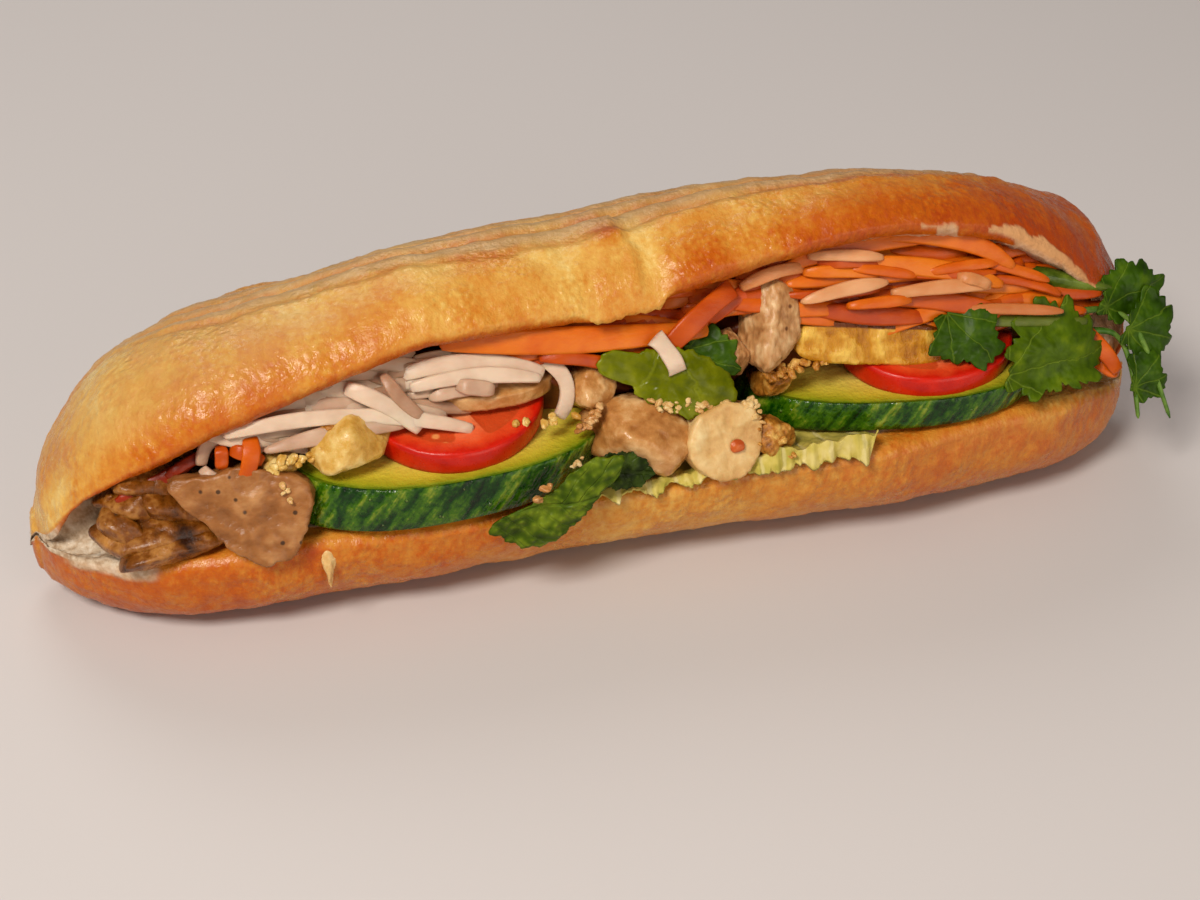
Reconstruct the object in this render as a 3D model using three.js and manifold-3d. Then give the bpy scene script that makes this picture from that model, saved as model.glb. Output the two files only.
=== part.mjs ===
// Banh mi: a split bread roll, hinged along its back, filled with meat, salad, pickle and herbs.
// Millimetres. X runs along the loaf, the open mouth faces -Y, Z is up, the crust stands on Z = 0.
import * as THREE from "three";
import { mergeVertices } from "three/addons/utils/BufferGeometryUtils.js";
import Module from "manifold-3d";

const wasm = await Module();
wasm.setup();

// ---------------------------------------------------------------- driving sizes
const LOAF_LENGTH = 240;
const HALF_LENGTH = LOAF_LENGTH / 2;
const TOP_POWER = 2.3; // how square the crown of the closed roll is
const BASE_POWER = 2.7; // how square its underside is
const HINGE = 0.95; // where the back hinge lies, as a share of the half width
const BASE_WIDTH = 0.97; // the lower half is a little narrower than the upper
const JOINT = 9; // crumb left uncut in front of the hinge
const JOINT_SHARE = 0.45; // the most that this takes of the half width
const GAP = 0.3; // clearance between neighbouring pieces
const BREAD_GAP = 0.35; // clearance between the bread and what lies in it
const WELD = 1e-4; // points nearer than this are one point

// Stations along the roll: x, half width, closed height, slit height, opening in degrees, shift in y,
// forward bulge of the lower crust, slit depth.
const ROLL = [
  [-120, 4, 18, 15, 8, 1, 0, 2],
  [-118, 9, 26, 16, 12, -1, 0, 4],
  [-115, 13.5, 31, 17.5, 16.5, -1.5, -1, 6],
  [-108, 19.5, 37, 19.5, 21, -2.5, -1, 12],
  [-98, 25, 42, 20, 24, -3, 0, 32],
  [-85, 30, 44, 22, 25, -2, 1, 99],
  [-65, 33, 44, 23, 27.5, 0, 0.5, 99],
  [-40, 35.5, 44.5, 23, 31.5, 0.5, -1, 99],
  [-10, 36, 46, 23, 31, 1.5, -2, 99],
  [20, 37.5, 46, 24.5, 33, 1.5, -1, 99],
  [50, 38, 44, 25.5, 35.5, 0, 1, 99],
  [75, 35, 43.5, 26, 34.5, 0, 3.5, 99],
  [95, 30.5, 44.5, 25, 29, -0.5, 4.5, 99],
  [107, 26, 44.5, 22.5, 23, 0.5, 3.5, 34],
  [114, 19.5, 39.5, 20.5, 21.5, -0.5, 2, 16],
  [118, 12.5, 33, 18, 22, -1.5, 0.5, 8],
  [120, 7, 25, 18, 20, -2.5, 0, 5],
];

// The front edge of the scored crown: x, and where it lies across the closed roll.
const RIDGE = [
  [-108, 4],
  [-90, -7],
  [-75, -14.5],
  [-40, -24],
  [20, -28],
  [60, -26.5],
  [82, -19],
  [100, -8],
  [110, 0],
];
const RIDGE_RISE = { high: 0.8, before: 5, after: 2 }; // the crust swells up to the ridge, then drops
// Grooves scored along the crown: how far each lies behind the ridge, how deep and wide it is, and the
// stretches of x over which it fades in and out. Those further back are shorter, by slant times the distance.
const SCORES = {
  behind: [0, 8, 16, 25],
  deep: 1.2,
  wide: 1.9,
  fadeIn: [-112, -92],
  fadeOut: [96, 112],
  slant: 0.7,
};
const SWELLING = { x: -75, y: 14, wide: 12, high: 1.5 }; // a low hump at the back of the left end
// A crack across the front of the crown: where it meets the lip, its slope, and the step beside it.
const CRACK = {
  at: 3.4,
  lean: -0.12,
  high: 0.9,
  before: 6,
  after: 3,
  narrow: 3.2,
  front: 0.86,
  tall: 15,
};
const FLAKE = { from: -12, to: 10, hang: 2.6 }; // a torn flake of crust that hangs from the upper lip
const SAG = { upper: 1.6, lower: 1.8, slit: 0.6 }; // how the cut faces bow, and the slit's end opens
const FLAT_SOLE = 0.5; // what the bench takes off the underside
const TIP_LIFT = 5; // how far the underside rises at each tip

// ---------------------------------------------------------------- small helpers
const rad = (d) => (d * Math.PI) / 180;
const clamp = (v, lo, hi) => Math.min(hi, Math.max(lo, v));
const lerp = (a, b, t) => a + (b - a) * t;
const smooth = (a, b, v) => {
  const t = clamp((v - a) / (b - a), 0, 1);
  return t * t * (3 - 2 * t);
};
const bell = (v, mid, wide) => Math.exp(-(((v - mid) / wide) ** 2));

// One column of a table of stations, as a smooth monotone curve.
function along(table, column) {
  const xs = table.map((r) => r[0]);
  const ys = table.map((r) => r[column]);
  const n = xs.length;
  const h = xs.slice(1).map((x, i) => x - xs[i]);
  const d = h.map((w, i) => (ys[i + 1] - ys[i]) / w);
  const m = ys.map((_, i) => {
    if (i === 0) return d[0];
    if (i === n - 1) return d[n - 2];
    if (d[i - 1] * d[i] <= 0) return 0;
    const a = 2 * h[i] + h[i - 1];
    const b = h[i] + 2 * h[i - 1];
    return (a + b) / (a / d[i - 1] + b / d[i]);
  });
  return (x) => {
    let i = 0;
    while (i < n - 2 && x > xs[i + 1]) i++;
    const t = clamp((x - xs[i]) / h[i], 0, 1);
    const t2 = t * t;
    const t3 = t2 * t;
    return (
      ys[i] * (2 * t3 - 3 * t2 + 1) +
      h[i] * m[i] * (t3 - 2 * t2 + t) +
      ys[i + 1] * (3 * t2 - 2 * t3) +
      h[i] * m[i + 1] * (t3 - t2)
    );
  };
}

function meshFrom(points, triangles) {
  const g = new THREE.BufferGeometry();
  g.setAttribute("position", new THREE.Float32BufferAttribute(points.flat(), 3));
  g.setIndex(triangles.flat());
  return g;
}

function volumeOf(points, triangles) {
  let v = 0;
  for (const [a, b, c] of triangles) {
    const [p, q, r] = [points[a], points[b], points[c]];
    v +=
      p[0] * (q[1] * r[2] - q[2] * r[1]) +
      p[1] * (q[2] * r[0] - q[0] * r[2]) +
      p[2] * (q[0] * r[1] - q[1] * r[0]);
  }
  return v / 6;
}

// A closed mesh, turned the right way out.
function facingOut(points, triangles) {
  const inside = volumeOf(points, triangles) < 0;
  return meshFrom(points, inside ? triangles.map(([a, b, c]) => [a, c, b]) : triangles);
}

// A closed skin over equal rings of points. Each end is capped by a triangulation of its outline.
function loft(rings) {
  const n = rings[0].length;
  const points = rings.flat();
  const triangles = [];
  for (let i = 0; i + 1 < rings.length; i++)
    for (let j = 0; j < n; j++) {
      const a = i * n + j;
      const b = i * n + ((j + 1) % n);
      triangles.push([a, b, b + n], [a, b + n, a + n]);
    }
  const flat = (ring) => ring.map(([, y, z]) => new THREE.Vector2(y, z));
  const side = THREE.ShapeUtils.area(flat(rings[0])) > 0;
  const last = (rings.length - 1) * n;
  for (const [a, b, c] of THREE.ShapeUtils.triangulateShape(flat(rings[0]), []))
    triangles.push(side ? [a, c, b] : [a, b, c]);
  for (const [a, b, c] of THREE.ShapeUtils.triangulateShape(flat(rings.at(-1)), []))
    triangles.push(side ? [last + a, last + b, last + c] : [last + a, last + c, last + b]);
  return facingOut(points, triangles);
}

// ---------------------------------------------------------------- the bread roll
const rollAt = [1, 2, 3, 4, 5, 6, 7].map((c) => along(ROLL, c));
const TOP_POINTS = 23;
const BASE_POINTS = 14;
const CUT_POINTS = 5;
const ROWS = 31;

const ridgeAt = along(RIDGE, 1);

// Height added to the crust: the ridge, the grooves behind it, the step across the front and the hump.
function crustRelief(x, y, upper, half) {
  if (!upper) return 0.25 * Math.sin(x * 0.19) * Math.cos(y * 0.31);
  const near = (back) => {
    const left = smooth(...SCORES.fadeIn, x - SCORES.slant * back);
    return left * (1 - smooth(...SCORES.fadeOut, x + SCORES.slant * back));
  };
  const wander = 0.8 * Math.sin(x * 0.031 + 0.6) + 0.6 * Math.sin(x * 0.083);
  const ridge = ridgeAt(x);
  const rising = smooth(ridge - RIDGE_RISE.before, ridge - 1, y);
  let r = RIDGE_RISE.high * near(0) * rising * (1 - smooth(ridge, ridge + RIDGE_RISE.after, y));
  for (const back of SCORES.behind)
    r -= SCORES.deep * near(back) * bell(y, ridge + back + wander, SCORES.wide);
  r += SWELLING.high * bell(x, SWELLING.x, SWELLING.wide) * bell(y, SWELLING.y, SWELLING.wide);
  const crack = CRACK.at + CRACK.lean * (y + half);
  const raised = bell(x, crack - CRACK.before, CRACK.before);
  const sunk = 0.8 * bell(x, crack + CRACK.after, CRACK.narrow);
  return r + CRACK.high * bell(y, -half * CRACK.front, CRACK.tall) * (raised - sunk);
}

// How far the torn flake of the upper lip hangs down at x; share is the height above the lip, as a share
// of the upper half.
function flakeHang(x, share) {
  const along = smooth(FLAKE.from, FLAKE.from + 6, x) * (1 - smooth(FLAKE.to - 5, FLAKE.to, x));
  return FLAKE.hang * Math.max(0, 1 - share) ** 4 * along;
}

// The outline of the roll at x: lower crust from lip to hinge, upper crust from hinge to lip, then both
// cut faces.
function rollSection(x) {
  const [half, height, slit, opening, shift, bulge, depth] = rollAt.map((f) => f(x));
  const phi = rad(opening);
  const [c, s] = [Math.cos(phi), Math.sin(phi)];
  const hinge = half * HINGE;
  const lift = TIP_LIFT * smooth(98, 122, Math.abs(x)) ** 2;
  const turned = (y, z) => {
    const dy = y - hinge;
    const dz = z - slit;
    return [x, hinge + dy * c + dz * s + shift, slit - dy * s + dz * c];
  };
  const ring = [];
  const power = (v, n) => Math.sign(v) * Math.abs(v) ** (2 / n);
  for (let i = 0; i < BASE_POINTS; i++) {
    const t = (Math.PI * i) / BASE_POINTS;
    const r = crustRelief(x, -half * Math.cos(t), false, half);
    const front = Math.sin(t) * Math.sqrt(Math.max(0, Math.cos(t)));
    const y = -(half * BASE_WIDTH + r) * power(Math.cos(t), BASE_POWER) - bulge * front;
    const z = Math.max(0, slit - (slit + FLAT_SOLE) * power(Math.sin(t), BASE_POWER));
    ring.push([x, y + shift, z + lift * (1 - z / slit)]);
  }
  for (let i = TOP_POINTS - 1; i >= 0; i--) {
    const u = (i + 0.35) / (TOP_POINTS - 0.65);
    const t = Math.PI * (u + 0.045 * Math.sin(2 * Math.PI * u));
    const flatY = -half * power(Math.cos(t), TOP_POWER);
    const r = crustRelief(x, flatY, true, half) * smooth(0, 0.2, Math.sin(t));
    const y = -(half + r) * power(Math.cos(t), TOP_POWER);
    const z = slit + (height - slit + r) * power(Math.sin(t), TOP_POWER);
    const hang = y < 0 ? flakeHang(x, (z - slit) / (height - slit)) : 0;
    ring.push(turned(y, z - hang));
  }
  const lipBase = -half * BASE_WIDTH;
  const lipTop = -half;
  const inner = Math.min(hinge - Math.min(JOINT, half * JOINT_SHARE), lipBase + depth);
  for (let i = 1; i <= CUT_POINTS; i++) {
    const t = i / CUT_POINTS;
    const y = lerp(lipTop, inner, t);
    ring.push(turned(y, slit + SAG.upper * Math.sin(Math.PI * t) + (t === 1 ? SAG.slit : 0)));
  }
  for (let i = CUT_POINTS; i >= 1; i--) {
    const t = i / CUT_POINTS;
    const y = lerp(lipBase, inner, t);
    ring.push([x, y + shift, slit - SAG.lower * Math.sin(Math.PI * t) - (t === 1 ? SAG.slit : 0)]);
  }
  return ring;
}

function rollStations() {
  const xs = [];
  for (let i = 0; i < ROWS; i++) {
    const u = (2 * i) / (ROWS - 1) - 1;
    xs.push(HALF_LENGTH * (0.62 * Math.sin((Math.PI / 2) * u) + 0.38 * u));
  }
  return xs;
}

// ---------------------------------------------------------------- solids and placing
function asManifold(geometry) {
  const g = geometry.clone();
  g.deleteAttribute("normal");
  g.deleteAttribute("uv");
  const merged = mergeVertices(g, WELD);
  return new wasm.Manifold(
    new wasm.Mesh({
      numProp: 3,
      vertProperties: new Float32Array(merged.attributes.position.array),
      triVerts: new Uint32Array(merged.index.array),
    }),
  );
}

function asGeometry(solid) {
  const m = solid.getMesh();
  const v = [];
  for (let i = 0; i < m.numVert; i++)
    v.push(...m.vertProperties.subarray(i * m.numProp, i * m.numProp + 3));
  const g = new THREE.BufferGeometry();
  g.setAttribute("position", new THREE.Float32BufferAttribute(v, 3));
  g.setIndex([...m.triVerts]);
  return g;
}

// The same skin moved outwards, so that what is cut with it keeps a clearance.
function grown(geometry, by) {
  const g = mergeVertices(geometry, WELD);
  g.computeVertexNormals();
  const p = g.attributes.position;
  const n = g.attributes.normal;
  for (let i = 0; i < p.count; i++)
    p.setXYZ(i, p.getX(i) + by * n.getX(i), p.getY(i) + by * n.getY(i), p.getZ(i) + by * n.getZ(i));
  return g;
}

// The mouth's own frame: x along the roll, s up the sloping front of the filling, d out of it.
const MOUTH_Y = -36;
const MOUTH_Z = 23;
const LEAN_BACK = Math.acos(0.872);
const UP = new THREE.Vector3(0, Math.sin(LEAN_BACK), Math.cos(LEAN_BACK));
const OUT = new THREE.Vector3(0, -Math.cos(LEAN_BACK), Math.sin(LEAN_BACK));
const inMouth = (x, s, d) =>
  new THREE.Vector3(x, MOUTH_Y, MOUTH_Z).addScaledVector(UP, s).addScaledVector(OUT, d);

// Puts a piece drawn in its own X (along), Y (up) and Z (out) at a place in the mouth.
// spin turns it in the face of the mouth, pitch tips its top outwards, yaw swings its right side outwards.
function inFace(geometry, [x, s, d], { spin = 0, pitch = 0, yaw = 0 } = {}) {
  const m = new THREE.Matrix4().makeBasis(new THREE.Vector3(1, 0, 0), UP, OUT);
  const turn = new THREE.Matrix4().makeRotationFromEuler(
    new THREE.Euler(rad(pitch), rad(-yaw), rad(spin), "ZYX"),
  );
  m.multiply(turn).setPosition(inMouth(x, s, d));
  return geometry.applyMatrix4(m);
}

// Puts a piece drawn flat in X and Y at a place in the roll's frame.
function lying(geometry, [x, y, z], { spin = 0, nose = 0, roll = 0 } = {}) {
  const m = new THREE.Matrix4().makeRotationFromEuler(
    new THREE.Euler(rad(nose), rad(roll), rad(spin), "ZYX"),
  );
  return geometry.applyMatrix4(m.setPosition(x, y, z));
}

// A repeatable stream of numbers between -1 and 1.
function draws(seed) {
  let a = seed * 7919 + 17;
  return () => {
    a = (a * 1103515245 + 12345) % 2147483648;
    return a / 1073741824 - 1;
  };
}

// A lump of meat or fruit: a squared ball with smooth hollows and swellings.
function lump([w, h, d], { seed = 1, rough = 0.12, square = 0.8, detail = 2 } = {}) {
  const next = draws(seed);
  const waves = Array.from({ length: 7 }, () => [next() * 3.4, next() * 3.4, next() * 3.4, next() * 3]);
  const g = new THREE.IcosahedronGeometry(1, detail);
  const p = g.attributes.position;
  const squared = (v) => Math.sign(v) * Math.abs(v) ** square;
  for (let i = 0; i < p.count; i++) {
    const [x, y, z] = [p.getX(i), p.getY(i), p.getZ(i)];
    let r = 1;
    for (const [a, b, c, e] of waves) r += rough * 0.5 * Math.sin(a * x + b * y + c * z + e);
    p.setXYZ(i, (w / 2) * r * squared(x), (h / 2) * r * squared(y), (d / 2) * r * squared(z));
  }
  return g;
}

// A slice: an outline given by its radius at each angle, with eased edges.
function slice(outline, thick, { around = 32, ease = 0.8, skew = 0 } = {}) {
  const points = [];
  const ring = (inset, z) => {
    for (let i = 0; i < around; i++) {
      const a = (2 * Math.PI * i) / around;
      const r = outline(a) - inset;
      points.push([r * Math.cos(a) + skew * z, r * Math.sin(a), z]);
    }
  };
  const h = thick / 2;
  ring(ease * 1.1, -h);
  ring(0, -h + ease);
  ring(0, h - ease);
  ring(ease * 1.1, h);
  points.push([skew * -h, 0, -h], [skew * h, 0, h]);
  const low = 4 * around;
  const triangles = [];
  for (let i = 0; i < around; i++) {
    const j = (i + 1) % around;
    for (let k = 0; k < 3; k++) {
      const a = k * around;
      triangles.push([a + i, a + j, a + around + j], [a + i, a + around + j, a + around + i]);
    }
    triangles.push([low, j, i], [low + 1, 3 * around + i, 3 * around + j]);
  }
  return meshFrom(points, triangles);
}

// An outline through corners given about its middle, with softly rounded sides.
function cornered(corners) {
  const polar = corners.map(([x, y]) => [Math.atan2(y, x), Math.hypot(x, y)]).sort((a, b) => a[0] - b[0]);
  const turn = 2 * Math.PI;
  return (t) => {
    const angle = t > Math.PI ? t - turn : t;
    const next = polar.findIndex(([a]) => a > angle);
    const b = next < 0 ? [polar[0][0] + turn, polar[0][1]] : polar[next];
    const before = polar.at(next < 0 ? -1 : next - 1);
    const a = next === 0 ? [before[0] - turn, before[1]] : before;
    return lerp(a[1], b[1], smooth(a[0], b[0], angle));
  };
}

// An oval outline, made squarer by a power above 2.
const oval = (a, b, power = 2) => (t) =>
  (Math.abs(Math.cos(t) / a) ** power + Math.abs(Math.sin(t) / b) ** power) ** (-1 / power);

// A thin leaf: an outline about its middle, waved, with both faces split alike.
function leaf(outline, wave, { around = 44, rings = 3, thick = 0.7 } = {}) {
  const top = [];
  const low = [];
  const add = (x, y) => {
    const z = wave(x, y);
    top.push([x, y, z + thick / 2]);
    low.push([x, y, z - thick / 2]);
  };
  add(0, 0);
  for (let k = 1; k <= rings; k++)
    for (let i = 0; i < around; i++) {
      const a = (2 * Math.PI * i) / around;
      const r = (outline(a) * k) / rings;
      add(r * Math.cos(a), r * Math.sin(a));
    }
  const n = top.length;
  const face = [];
  const at = (k, i) => 1 + (k - 1) * around + (i % around);
  for (let i = 0; i < around; i++) {
    face.push([0, at(1, i), at(1, i + 1)]);
    for (let k = 1; k < rings; k++)
      face.push([at(k, i), at(k + 1, i), at(k + 1, i + 1)], [at(k, i), at(k + 1, i + 1), at(k, i + 1)]);
  }
  const triangles = [...face, ...face.map(([a, b, c]) => [n + a, n + c, n + b])];
  for (let i = 0; i < around; i++) {
    const [a, b] = [at(rings, i), at(rings, i + 1)];
    triangles.push([a, n + a, n + b], [a, n + b, b]);
  }
  return meshFrom([...top, ...low], triangles);
}

const STRIP = { thick: 2.6, tuck: 1.6, sides: 4, corner: 0.68, step: 14 };

// A cut strip of vegetable between two places, bent sideways by bow and inwards at its ends.
function strip([x0, s0, x1, s1, bow, out, wide]) {
  const a = inMouth(x0, s0, out);
  const b = inMouth(x1, s1, out);
  const run = b.clone().sub(a);
  const across = new THREE.Vector3().crossVectors(OUT, run).normalize();
  const steps = clamp(Math.round(run.length() / STRIP.step), 2, 4);
  const rings = [];
  for (let i = 0; i <= steps; i++) {
    const t = i / steps;
    const hump = 4 * t * (1 - t);
    const taper = 0.82 + 0.18 * Math.sqrt(hump);
    const c = a.clone().addScaledVector(run, t).addScaledVector(across, bow * hump);
    c.addScaledVector(OUT, -STRIP.tuck * (1 - hump) ** 2);
    const e = run.clone().addScaledVector(across, bow * 4 * (1 - 2 * t)).normalize();
    const side = new THREE.Vector3().crossVectors(OUT, e).normalize();
    const face = new THREE.Vector3().crossVectors(e, side).normalize();
    const ring = [];
    for (let k = 0; k < STRIP.sides; k++) {
      const w = (2 * Math.PI * (k + 0.5)) / STRIP.sides;
      const p = c
        .clone()
        .addScaledVector(side, Math.cos(w) * wide * taper * STRIP.corner)
        .addScaledVector(face, Math.sin(w) * STRIP.thick * taper * STRIP.corner);
      ring.push([p.x, p.y, p.z]);
    }
    rings.push(ring);
  }
  return tube(rings);
}

// A closed skin over equal rings whose ends are fanned from their middles.
function tube(rings) {
  const n = rings[0].length;
  const points = rings.flat();
  const triangles = [];
  for (let i = 0; i + 1 < rings.length; i++)
    for (let j = 0; j < n; j++) {
      const a = i * n + j;
      const b = i * n + ((j + 1) % n);
      triangles.push([a, b, b + n], [a, b + n, a + n]);
    }
  const middle = (ring) => [0, 1, 2].map((k) => ring.reduce((t, p) => t + p[k], 0) / n);
  points.push(middle(rings[0]), middle(rings.at(-1)));
  const first = rings.length * n;
  const last = (rings.length - 1) * n;
  for (let j = 0; j < n; j++) {
    const k = (j + 1) % n;
    triangles.push([first, k, j], [first + 1, last + j, last + k]);
  }
  return facingOut(points, triangles);
}

// ---------------------------------------------------------------- collecting the pieces
const pieces = [];

const largest = (solid) => {
  const parts = solid.decompose().filter((b) => b.volume() > 0);
  return parts.sort((a, b) => b.volume() - a.volume())[0];
};

const boxOf = (geometry) => {
  geometry.computeBoundingBox();
  return geometry.boundingBox;
};

// Adds a piece; what is already there keeps its room, and the new piece is cut back to clear it.
function piece(name, geometry, colour) {
  let solid = geometry.isBufferGeometry ? asManifold(geometry) : geometry;
  const box = boxOf(asGeometry(solid)).clone().expandByScalar(GAP);
  for (const earlier of pieces.filter((p) => p.box.intersectsBox(box)))
    solid = largest(solid.subtract(earlier.room).subtract(earlier.solid));
  const made = asGeometry(solid);
  const room = asManifold(grown(made, name === "bread" ? BREAD_GAP : GAP));
  pieces.push({ name, geometry: made, colour, room, solid, box: boxOf(made).clone() });
}

const joined = (geometries) => geometries.map(asManifold).reduce((a, b) => a.add(b));

// ---------------------------------------------------------------- the bread
piece("bread", loft(rollStations().map(rollSection)), 0xcf9a58);

// ---------------------------------------------------------------- lettuce under the filling
// It lies on the lower cut face from back to the lip, which it reaches at the share lip of its depth, then
// hangs over it in a frill.
const LETTUCE = { from: -11, to: 50, back: -12, lip: 0.84, over: 2.4, hang: 3.4, frill: 0.72, thick: 0.8 };

function lettuceLeaf() {
  const across = 26;
  const rows = [0, 0.35, 0.65, LETTUCE.lip, 0.92, 1];
  const deep = rows.length - 1;
  const at = (u, v) => {
    const x = lerp(LETTUCE.from, LETTUCE.to, u);
    const [half, , slit, , shift] = rollAt.map((f) => f(x));
    const lip = shift - half * BASE_WIDTH;
    const edge = smooth(0.55, 1, v);
    const over = smooth(LETTUCE.lip, 1, v);
    const frill = Math.sin(x * LETTUCE.frill) + 0.5 * Math.sin(x * 1.63 + 1);
    const y = lerp(LETTUCE.back, lip, Math.min(1, v / LETTUCE.lip)) - over * (LETTUCE.over + 0.5 * frill);
    const dip = slit - SAG.lower * Math.sin(Math.PI * clamp((y - lip) / 62, 0, 1));
    const rise = 1.35 + edge * 0.5 + 0.25 * frill * edge;
    return [x, y, dip + rise - over * (LETTUCE.hang + 0.9 * Math.sin(x * LETTUCE.frill + 1.2))];
  };
  const top = [];
  for (let i = 0; i <= across; i++)
    for (const v of rows) top.push(at(i / across, v));
  const n = top.length;
  const w = deep + 1;
  const low = top.map(([x, y, z], k) => {
    const lean = smooth(0.78, 1, rows[k % w]);
    return [x, y + LETTUCE.thick * lean * 0.8, z - LETTUCE.thick * (1 - 0.35 * lean)];
  });
  const face = [];
  for (let i = 0; i < across; i++)
    for (let j = 0; j < deep; j++) {
      const a = i * w + j;
      face.push([a, a + w, a + w + 1], [a, a + w + 1, a + 1]);
    }
  const rim = [];
  for (let i = 0; i < across; i++) rim.push([i * w, (i + 1) * w]);
  for (let j = 0; j < deep; j++) rim.push([across * w + j, across * w + j + 1]);
  for (let i = across; i > 0; i--) rim.push([i * w + deep, (i - 1) * w + deep]);
  for (let j = deep; j > 0; j--) rim.push([j, j - 1]);
  const triangles = [...face, ...face.map(([a, b, c]) => [n + a, n + c, n + b])];
  for (const [a, b] of rim) triangles.push([a, n + b, b], [a, n + a, n + b]);
  return facingOut([...top, ...low], triangles);
}
piece("lettuce", lettuceLeaf(), 0xb4bd58);

// ---------------------------------------------------------------- cucumber and tomato
const CUCUMBER = { long: 33, deep: 19, thick: 11.2, skew: 0.32 };
const TOMATO = { radius: 18.6, thick: 5.6 };

piece(
  "cucumber_left",
  lying(slice(oval(CUCUMBER.long, CUCUMBER.deep, 2.2), CUCUMBER.thick, { around: 34, skew: CUCUMBER.skew }),
    [-39, -16.6, 29.6], { nose: 1 }),
  0x2f6b1e,
);
piece(
  "cucumber_right",
  lying(slice(oval(CUCUMBER.long, 17.6, 2.2), 7, { around: 34, skew: CUCUMBER.skew }),
    [59, -15.4, 30.2], { spin: -9 }),
  0x2f6b1e,
);
piece(
  "tomato_left",
  lying(slice(oval(TOMATO.radius, TOMATO.radius), TOMATO.thick, { around: 26 }), [-35.5, -14.6, 38.6],
    { nose: 1 }),
  0xc8280f,
);
piece(
  "tomato_right",
  lying(slice(oval(TOMATO.radius, TOMATO.radius - 1), TOMATO.thick, { around: 26 }), [67.5, -15.4, 36.8],
    { nose: 1 }),
  0xc8280f,
);

// ---------------------------------------------------------------- meats and other chunks
// Each row: name, place in the mouth, size along / up / out, angles, how rough, colour.
const LUMPS = [
  ["braised_meat_low", [-97, 7.6, -7.4], [25, 10.5, 15], { spin: -6 }, 0.2, 0x8a4f25, 3, 2],
  ["braised_meat_high", [-96.6, 16.4, -14], [18, 9.5, 20], { spin: 10 }, 0.2, 0x9a6034, 8, 2],
  ["chicken_large", [0.8, 13, -3], [21, 15, 17], { spin: -22 }, 0.16, 0xc3925f, 11, 2],
  ["chicken_small", [-7.8, 24.4, -5], [10, 10, 14], { spin: 10 }, 0.2, 0xb98650, 4, 1],
  ["egg_chunk", [-58.5, 20.4, -2], [16.5, 9.8, 15], { spin: 6, pitch: 24 }, 0.12, 0xd9a83c, 6, 2],
  ["fried_scrap_left", [-73, 18.6, -6.4], [11, 7.4, 12], { spin: 24 }, 0.24, 0xb5812f, 9, 1],
  ["fried_scrap_middle", [27.4, 7.8, -0.4], [9.2, 9.4, 10], { spin: 20 }, 0.24, 0xc07f28, 12, 1],
  ["shredded_chicken", [31, 30.4, -2], [12.6, 20.5, 13], { spin: -12 }, 0.24, 0xb58a58, 14, 2],
  ["shredded_chicken_small", [22, 26, -4.5], [7.2, 9.2, 12], { spin: 6 }, 0.24, 0xa9793f, 5, 1],
  ["fried_scrap_right", [31.6, 18.8, -8], [9.5, 6.5, 12], { spin: 4 }, 0.24, 0xa86a2c, 7, 1],
];

const PEPPERED_CORNERS = [
  [-13, 8.5],
  [-0.5, 9.5],
  [11, 3.5],
  [9, -5.5],
  [2, -10.5],
  [-5.5, -5],
  [-9.5, 1.5],
];

piece(
  "round_slice",
  inFace(slice(oval(8.4, 8.2, 2.3), 5.2, { around: 22, ease: 1.1 }), [16.6, 9.2, 1.4],
    { pitch: 6, yaw: -6 }),
  0xe3bd84,
);
piece(
  "peppered_slice",
  inFace(slice(cornered(PEPPERED_CORNERS), 6.6, { around: 26, ease: 1.2 }), [-79.5, 10, -3.6],
    { pitch: 8, yaw: 8 }),
  0xc09068,
);
for (const [name, place, size, turn, rough, colour, seed, detail] of LUMPS)
  piece(name, inFace(lump(size, { seed, rough, detail }), place, turn), colour);

piece(
  "egg_strip",
  inFace(slice(oval(17, 4.6, 3.4), 11, { around: 24, ease: 1.4 }), [52.6, 24.6, -5],
    { spin: -10, pitch: 10 }),
  0xc68f2c,
);
piece(
  "thin_meat_slice",
  lying(slice(oval(12.6, 8, 2.5), 3.2, { around: 22, ease: 0.9 }), [-27, -16, 44.2],
    { nose: 5, spin: 4 }),
  0xcf9f70,
);

// ---------------------------------------------------------------- herbs
// A coriander blade: three broad lobes, each cut into teeth, narrowing to the stalk.
const coriander = (w, h, teeth = 9, phase = 0) => (t) => {
  const fan = 0.62 + 0.38 * Math.sin(t) * 0.5 + 0.1 * Math.cos(3 * (t - Math.PI / 2));
  const edge = 1 + 0.11 * Math.cos(teeth * t + phase) + 0.05 * Math.cos(2 * teeth * t);
  return oval(w, h)(t) * clamp(fan + 0.22, 0.3, 1.1) * edge;
};
const scalloped = (corners, teeth, deep) => {
  const shape = cornered(corners);
  return (t) => shape(t) * (1 + deep * Math.cos(teeth * t));
};
const crinkled = (w, h, teeth = 16) => (t) => oval(w, h, 1.8)(t) * (1 + 0.05 * Math.cos(teeth * t));

const MINT_CORNERS = [
  [-15, -1.2],
  [-12, -5.2],
  [-4, -7.4],
  [3, -6],
  [7.5, -0.5],
  [13, 5.6],
  [14, 8.6],
  [9.5, 9],
  [3, 6],
  [-4, 4.2],
  [-11.5, 2.4],
];
const OLIVE_CORNERS = [
  [-15.8, 5.8],
  [-12.5, 7.9],
  [-5.4, 6.8],
  [-0.7, 7.3],
  [5, 5.7],
  [9.8, 2.5],
  [14.2, -2.9],
  [12.9, -5.8],
  [8.4, -7.5],
  [3, -8.1],
  [-1.9, -5.5],
  [-6.7, -2.3],
  [-8, 0.5],
  [-11.9, 2.2],
];

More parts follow.
